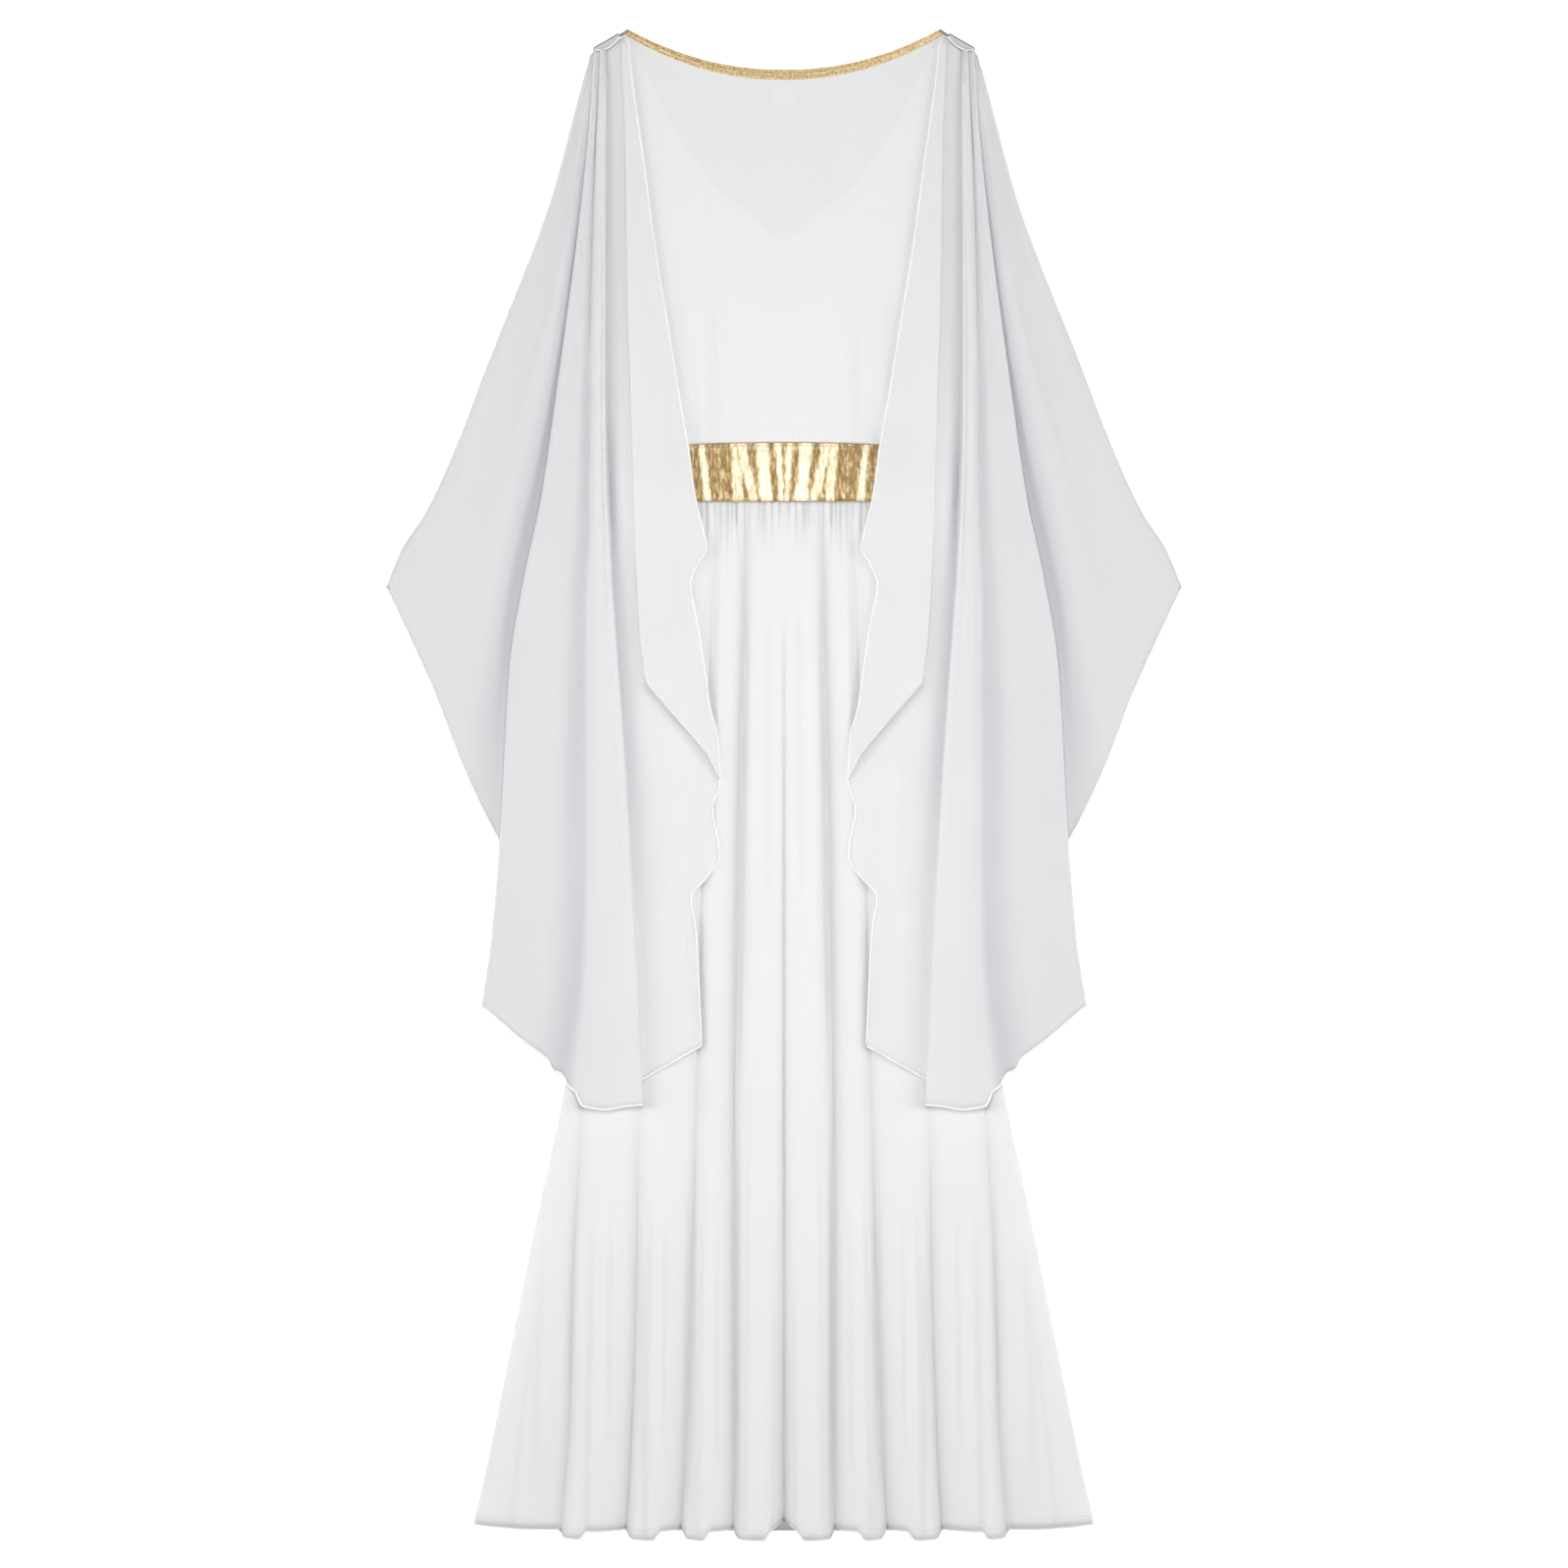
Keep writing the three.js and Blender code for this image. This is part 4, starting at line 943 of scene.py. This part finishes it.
dress(grains("neck_braid_ends", ends, 6), braid_dark)


# Capes
def on_line(line, v):
    down = mix(line[1][0], line[-1][0], v)
    return down, along(line, "out", down)


def between(a, b, f):
    return mix(a[0], b[0], f), mix(a[1], b[1], f)


def put(points, at, z, shift=0.0):
    """Adds the point at a place (down, out) and a height above what a cape lies on there."""
    out = at[1] + shift
    points.append((out, at[0], ground(out, at[0]) + z))


def turn(points, at, side, start, end, places):
    """Adds the points of a fold, round from one height to another."""
    r = abs(end - start) / 2
    for f in places:
        z = mix(start, end, 0.5 - 0.5 * math.cos(math.pi * f))
        put(points, at, z, side * r * (math.sin(math.pi * f) - 1))


# creases of a cape in hundredths: across its section, down it
OUTER_CREASES = [
    (16, 8, 13, 96, 6, -1.2), (46, 20, 42, 98, 8, 1.0), (70, 12, 72, 90, 6, 1.2), (86, 10, 88, 80, 5, -1.0),
    (58, 3, 54, 60, 5, -0.9), (33, 30, 28, 98, 6, 0.9),
]
MIDDLE_CREASES = [
    (14, 2, 12, 97, 6, 0.8), (26, 6, 30, 88, 7, -0.9), (38, 20, 40, 98, 5, 0.7),
    (52, 10, 52, 99, 2.5, -1.3), (70, 4, 64, 97, 6, 0.8), (86, 3, 88, 99, 5, -0.9), (44, 2, 47, 40, 5, 0.7),
    (93, 5, 94, 60, 4, 0.8),
]
INNER_CREASES = [
    (22, 10, 18, 95, 9, -0.8), (52, 62, 58, 99, 8, 0.9), (80, 66, 76, 98, 7, -0.6),
]
CAPE_TURN = (0.12, 0.26, 0.38, 0.5, 0.62, 0.74, 0.88)  # points round a fold, as shares of its turn
FLAP_TURN = (0.08, 0.2, 0.35, 0.5, 0.65, 0.8, 0.92)
CAPE_GATHERS = 15  # small pleats where a cape is sewn to the shoulder
GATHER_END = 0.1  # share of the cape's length over which they run out


def cape_row(v):
    lift = {name: along(LIFTS, name, v) for name in LIFTS[0][1:]}
    outer, outer_fold = on_line(OUTER_EDGE, v), on_line(OUTER_FOLD, v)
    trough, inner_fold = on_line(MIDDLE_TROUGH, v), on_line(INNER_FOLD, v)
    inner = on_line(INNER_EDGE, v)
    tuck = clamp((outer_fold[1] - inner_fold[1]) * TUCK_SHARE, TUCK_LEAST, TUCK_MOST)
    hidden = mix(OUTER_FOLD[1][0], HIDDEN_OUTER, v)
    outer_hidden = (hidden, along(OUTER_FOLD, "out", hidden) - tuck)
    hidden = mix(INNER_FOLD[1][0], HIDDEN_INNER, v)
    inner_hidden = (hidden, along(INNER_FOLD, "out", hidden) + tuck)
    points = []
    low, middle = lift["low"], lift["low"] + lift["pitch"]
    for a in steps(44):
        down, out = between(outer, outer_hidden, a)
        out += OUTER_HEM_BULGE * bump((a - OUTER_HEM_PLACE) / OUTER_HEM_HALF) * ease((v - 0.8) / 0.2)
        wave = 0.0
        for place, half, top, mid, hem in OUTER_RIDGES:
            high = mix(top, mid, ease(v * 2)) if v < 0.5 else mix(mid, hem, v * 2 - 1)
            wave += high * bump((a - place) / half)
        wave += crease_height(OUTER_CREASES, a * 100, v * 100)
        put(points, (down, out), low + max(wave, 0), a**3 * lift["pitch"] / 2)
    turn(points, outer_hidden, -1, low, middle, CAPE_TURN)
    turn(points, outer_fold, 1, middle, lift["fold"], CAPE_TURN)
    marks = [
        (outer_fold, lift["fold"], -(lift["fold"] - middle) / 2),
        (between(outer_fold, trough, 0.5), lift["shoulder"], 0),
        (trough, lift["trough"], 0),
        (between(trough, inner_fold, 0.5), lift["crest"], 0),
        (inner_fold, lift["inner"], (lift["inner"] - middle) / 2),
    ]
    for k in range(4):
        for f in steps(13)[1:]:
            down, out = between(marks[k][0], marks[k + 1][0], f)
            down += along(HEM_REACH, "reach", (k + f) / 4) * ease((v - 0.88) / 0.12)
            rise = (ease(f), f**1.7, math.sin(f * math.pi / 2) ** 0.75, ease(f))[k]
            z = mix(marks[k][1], marks[k + 1][1], rise)
            z += crease_height(MIDDLE_CREASES, (k + f) * 25, v * 100)
            put(points, (down, out), max(z, middle + 0.6), mix(marks[k][2], marks[k + 1][2], f))
    turn(points, inner_fold, -1, lift["inner"], middle, CAPE_TURN)
    turn(points, inner_hidden, 1, middle, low, CAPE_TURN)
    for a in steps(26)[1:]:
        wave = 3 * bump((a - 0.6) / 0.32) * ease((v - 0.74) / 0.12)
        wave += crease_height(INNER_CREASES, a * 100, v * 100)
        put(points, between(inner_hidden, inner, a), low + max(wave, 0))
    last = len(points) - 1
    fade = 1 - ease(v / GATHER_END)
    return [
        (x, down, z + fade * 0.5 * math.cos(2 * math.pi * CAPE_GATHERS * k / last))
        for k, (x, down, z) in enumerate(points)
    ]


cape_levels = [v * v * 0.25 + v * 0.75 for v in steps(170)]

# the shoulder strip's ends, its lean, its width at its ends and its middle, and how its bound edge rises
STRIP_IN, STRIP_OUT, STRIP_START, STRIP_END, STRIP_LEAN = 160, 184.5, 3.6, 17.6, 1.6
STRIP_ENDS, STRIP_WIDE, STRIP_RISE = 2.6, 7.4, 2.4


def strip_place(f, g):
    """Along the shoulder strip, and across it from its upper seam to its bound edge."""
    wide = mix(STRIP_ENDS, STRIP_WIDE, math.sin(math.pi * f))
    return mix(STRIP_IN, STRIP_OUT, f) - g * STRIP_LEAN, mix(STRIP_START, STRIP_END, f) + g * wide


def strip_point(f, g, lift):
    """A point of the strip's upper face, which rises over the gathers at its bound edge."""
    crown = 0.5 * math.sin(math.pi * min(g, 1)) + STRIP_RISE * g * ease(f * 1.5)
    return (*strip_place(f, g), 3.5 + crown + lift)


def strip_line(g, lift):
    return [strip_point(f, g, lift) for f in steps(24)]


def sewn_rows(row, count, end, low, squash, draw):
    """Rows that carry a cape's top up to where it is sewn down. end gives the place for a distance out."""
    least = min(z for x, down, z in row)
    rows = []
    for t in steps(count)[:-1]:
        made = []
        for x, down, z in row:
            end_x, end_down = end(x)
            up = mix(low + (z - least) * squash, z, ease(t))
            made.append((mix(end_x, x, draw(t)), mix(end_down, down, t), up))
        rows.append(made)
    return rows


def under_strip(x):
    return strip_place(clamp((x - STRIP_IN + 8) / (STRIP_OUT - STRIP_IN + 8)), 0.7)


FLAP_CORNER_OUT, FLAP_CORNER_DOWN = 153.8, 8  # beside the strip's inner end


def at_corner(x):
    beyond = x - min(point[0] for point in flap_grid[0])
    return FLAP_CORNER_OUT + beyond * 0.5, FLAP_CORNER_DOWN + beyond * 0.2


def flap_row(v):
    fold, edge = on_line(FLAP_FOLD, v), on_line(FLAP_EDGE, v)
    near = between(fold, edge, 0.82)
    turn_in = ease((v - 0.9) / 0.1)
    near = (mix(near[0], FLAP_POINT[0], turn_in), mix(near[1], FLAP_POINT[1], turn_in))
    lower = 2.3
    upper = mix(4, 6.2, ease(v * 3))
    tuck = min(FLAP_TUCK, (fold[1] - edge[1]) * 0.3)
    points = []
    for f in (0, 0.5):
        put(points, fold, lower, -tuck * (1 - f))
    turn(points, fold, 1, lower, upper, FLAP_TURN)
    for f in steps(22)[1:]:
        ripple = 1.6 * bump((f - 0.62) / 0.2) * ease((v - 0.3) / 0.3)
        put(points, between(fold, near, f), mix(upper, lower + 0.2, ease(f * 1.5 - 0.25)) + ripple)
    for f in steps(6)[1:]:
        put(points, between(near, edge, f), lower + 0.2 * (1 - f))
    return points


# places in a cape's row of points: the ends of its outer, middle and inner sections
OUTER_LAST, MIDDLE_FIRST, MIDDLE_LAST, INNER_FIRST, ROW_LAST = 44, 58, 110, 124, 150
# the flap's painted light: nearly full, as other layers of cloth lie under it and show through
FLAP_PAINTED_LIGHT = 0.95
# painted shade beside the outer fold, in the middle trough and beside the inner fold
CAPE_PAINTED_SHADE = [
    ("at", "outer", "trough", "inner"), (0, 0.5, 0.3, 0.5), (0.2, 0.9, 0.4, 0.8), (0.45, 0.9, 0.5, 1),
    (0.7, 0.8, 0.7, 0.6), (0.85, 0.5, 0.8, 0.2), (1, 0.2, 0.9, 0),
]


def cape_painted_shade(k, v):
    """How bright a cape's cloth is painted at point k of a row: painted shade, most in its hollows, where its
    folds shade it, and towards its outer edge, where it lies alone over the table.
    """
    base = mix(0.66, 1, ease((k / ROW_LAST - 0.4) / 0.55))
    if k <= OUTER_LAST:
        hollow_shade = along(CAPE_PAINTED_SHADE, "outer", v) * ease((k / OUTER_LAST - 0.54) / 0.24)
    elif k < MIDDLE_FIRST:
        hollow_shade = 0.5 * along(CAPE_PAINTED_SHADE, "outer", v) * ease((MIDDLE_FIRST - k) / 7)
    elif k <= MIDDLE_LAST:
        f = (k - MIDDLE_FIRST) / (MIDDLE_LAST - MIDDLE_FIRST)
        hollow_shade = along(CAPE_PAINTED_SHADE, "trough", v) * bump((f - 0.5) / (0.22 if f < 0.5 else 0.09))
    else:
        f = clamp((k - INNER_FIRST) / (ROW_LAST - INNER_FIRST))
        hollow_shade = 1.7 * along(CAPE_PAINTED_SHADE, "inner", v) * (1 - ease((f - 0.04) / 0.42))
    return clamp(base - 0.58 * hollow_shade)


def flap_painted_shadow(x, down):
    """Painted shadow on a cape just outside the flap's lower edge, which runs from its fold to its point."""
    start, end = FLAP_FOLD[-1], FLAP_EDGE[-1]
    along_down, along_out = end[0] - start[0], end[1] - start[1]
    long = math.hypot(along_down, along_out)
    t = ((down - start[0]) * along_down + (x - start[1]) * along_out) / long**2
    away = ((x - start[1]) * along_down - (down - start[0]) * along_out) / long
    return 0.5 * max(1 - away / 7, 0) if 0 < t < 1 and away > -6 else 0.0


cape_grid = [cape_row(v) for v in cape_levels]
cape_top = sewn_rows(cape_grid[0], 8, under_strip, 2.75, 0.22, ease)
cape_places = [0.0] * len(cape_top) + cape_levels
# painted shade of the capes, in their hollows and under the flap's lower edge, as the mesh's value for their
# colour
cape_painted_values = [
    [clamp(cape_painted_shade(k, v) - flap_painted_shadow(x, down)) for k, (x, down, z) in enumerate(row)]
    for row, v in zip(cape_top + cape_grid, cape_places)
]
flap_grid = [flap_row(v) for v in steps(150)]
flap_grid = sewn_rows(flap_grid[0], 6, at_corner, 3.9, 0.25, float) + flap_grid
flap_painted_values = [[FLAP_PAINTED_LIGHT] * len(row) for row in flap_grid]
strip_grid = [[strip_point(f, g, 0) for g in steps(6)] for f in steps(24)]
strip_seams = [(strip_line(0.02, 0.2), 0.65), (strip_line(1.24, 0.6), 0.3)]  # upper seam, lower edge's seam
KNOT_OUT, KNOT_DOWN, KNOT_UP = 181.6, 18.6, 4.6
knot = []
for k in range(7):
    centre = (KNOT_OUT + 1.7 * (k % 3), KNOT_DOWN + 1.4 * (k // 3), KNOT_UP)
    knot.append((centre, (1, 0.6 + k, 0.3), 1.8, 0.7, 1.0))


def right_pieces():
    """The right cape's pieces, each with its material, slot and the node that it replaces."""
    cape = shell("cape_right_cloth", cape_top + cape_grid, CAPE_THIN, cape_painted_values)
    flap = shell("cape_flap_right_cloth", flap_grid, CAPE_THIN, flap_painted_values)
    strip = shell("shoulder_strip_right_cloth", strip_grid, 0.7)
    seams = join("shoulder_seam_right", [tube("edge", *seam) for seam in strip_seams])
    sewn = stitches("shoulder_stitches_right", strip_line(0.72, 0.3), 2.4, 1.8, 0.22)
    cape_hems = [
        tube("edge", [row[0] for row in cape_grid[6:]], 0.75),
        tube("edge", [(x, down, max(z + 0.5, 1.25)) for x, down, z in cape_grid[-1]], 1.2),
        tube("edge", [row[-1] for row in cape_grid[110:]], 0.9),
    ]
    flap_hems = [tube("edge", [row[-1] for row in flap_grid], 0.9), tube("edge", flap_grid[-1], 0.5)]
    return [
        (cape, cape_cloth, "cape_cloth", "cape_right"),
        (flap, cape_cloth, "cape_cloth", "cape_flap_right"),
        (join("cape_hem_right", cape_hems), hem_cloth, "cape_cloth", None),
        (join("cape_flap_hem_right", flap_hems), hem_cloth, "cape_cloth", None),
        (strip, strip_satin, "white_binding", "shoulder_strip_right"),
        (tube("shoulder_binding_right", strip_line(0.98, 0.7), 1.05), satin, "white_binding", None),
        (seams, thread_grey, "white_binding", None),
        (sewn, thread_grey, "white_binding", None),
        (grains("shoulder_knot_right", knot, 5), thread_white, "white_binding", None),
    ]


for obj, mat, slot_name, node_name in right_pieces():
    left = mirror(obj, obj.name.replace("right", "left"))
    dress(obj, mat, node_name)
    dress(left, mat, node_name and node_name.replace("right", "left"))


# Floor, light and world
FLOOR_HALF, FLOOR_Z = 14, -0.0004
floor_corners = [(x * FLOOR_HALF, y * FLOOR_HALF, FLOOR_Z) for x, y in ((-1, -1), (1, -1), (1, 1), (-1, 1))]
floor_mesh = bpy.data.meshes.new("floor")
floor_mesh.from_pydata(floor_corners, [], [(0, 1, 2, 3)])
floor = link("floor", floor_mesh)
floor_mat, _, floor_bsdf = material("floor", (0.93, 0.93, 0.93), 0.9, specular=0.1)
floor_bsdf.inputs["Emission Color"].default_value = (1, 1, 1, 1)
floor_bsdf.inputs["Emission Strength"].default_value = 0.55
floor.data.materials.append(floor_mat)

world = bpy.data.worlds.new("world")
bpy.context.scene.world = world
world.use_nodes = True
tree = world.node_tree
direction = tree.nodes.new("ShaderNodeTexCoord").outputs["Generated"]
high = node(tree, "ShaderNodeSeparateXYZ", Vector=direction).outputs["Z"]
sky = ramp(tree, high, [(0.0, (0.45, 0.45, 0.46)), (0.45, (0.8, 0.8, 0.81)), (1.0, (1, 1, 1))])
background = tree.nodes["Background"]
tree.links.new(sky, background.inputs["Color"])
background.inputs["Strength"].default_value = 0.22


def area_light(name, place, size, power):
    data = bpy.data.lights.new(name, "AREA")
    data.shape = "RECTANGLE"
    data.size, data.size_y = size
    data.energy = power
    light = link(name, data)
    light.location = place
    aim = -light.location
    light.rotation_euler = aim.to_track_quat("-Z", "Y").to_euler()
    light.visible_camera = False


area_light("light_over", (0, 0.05, 2.0), (0.5, 0.8), 23.5)
area_light("light_left", (-4.4, 0, 2.0), (0.7, 4.0), 116)
area_light("light_right", (4.4, 0, 2.0), (0.7, 4.0), 116)

bpy.context.scene.view_settings.view_transform = "Standard"
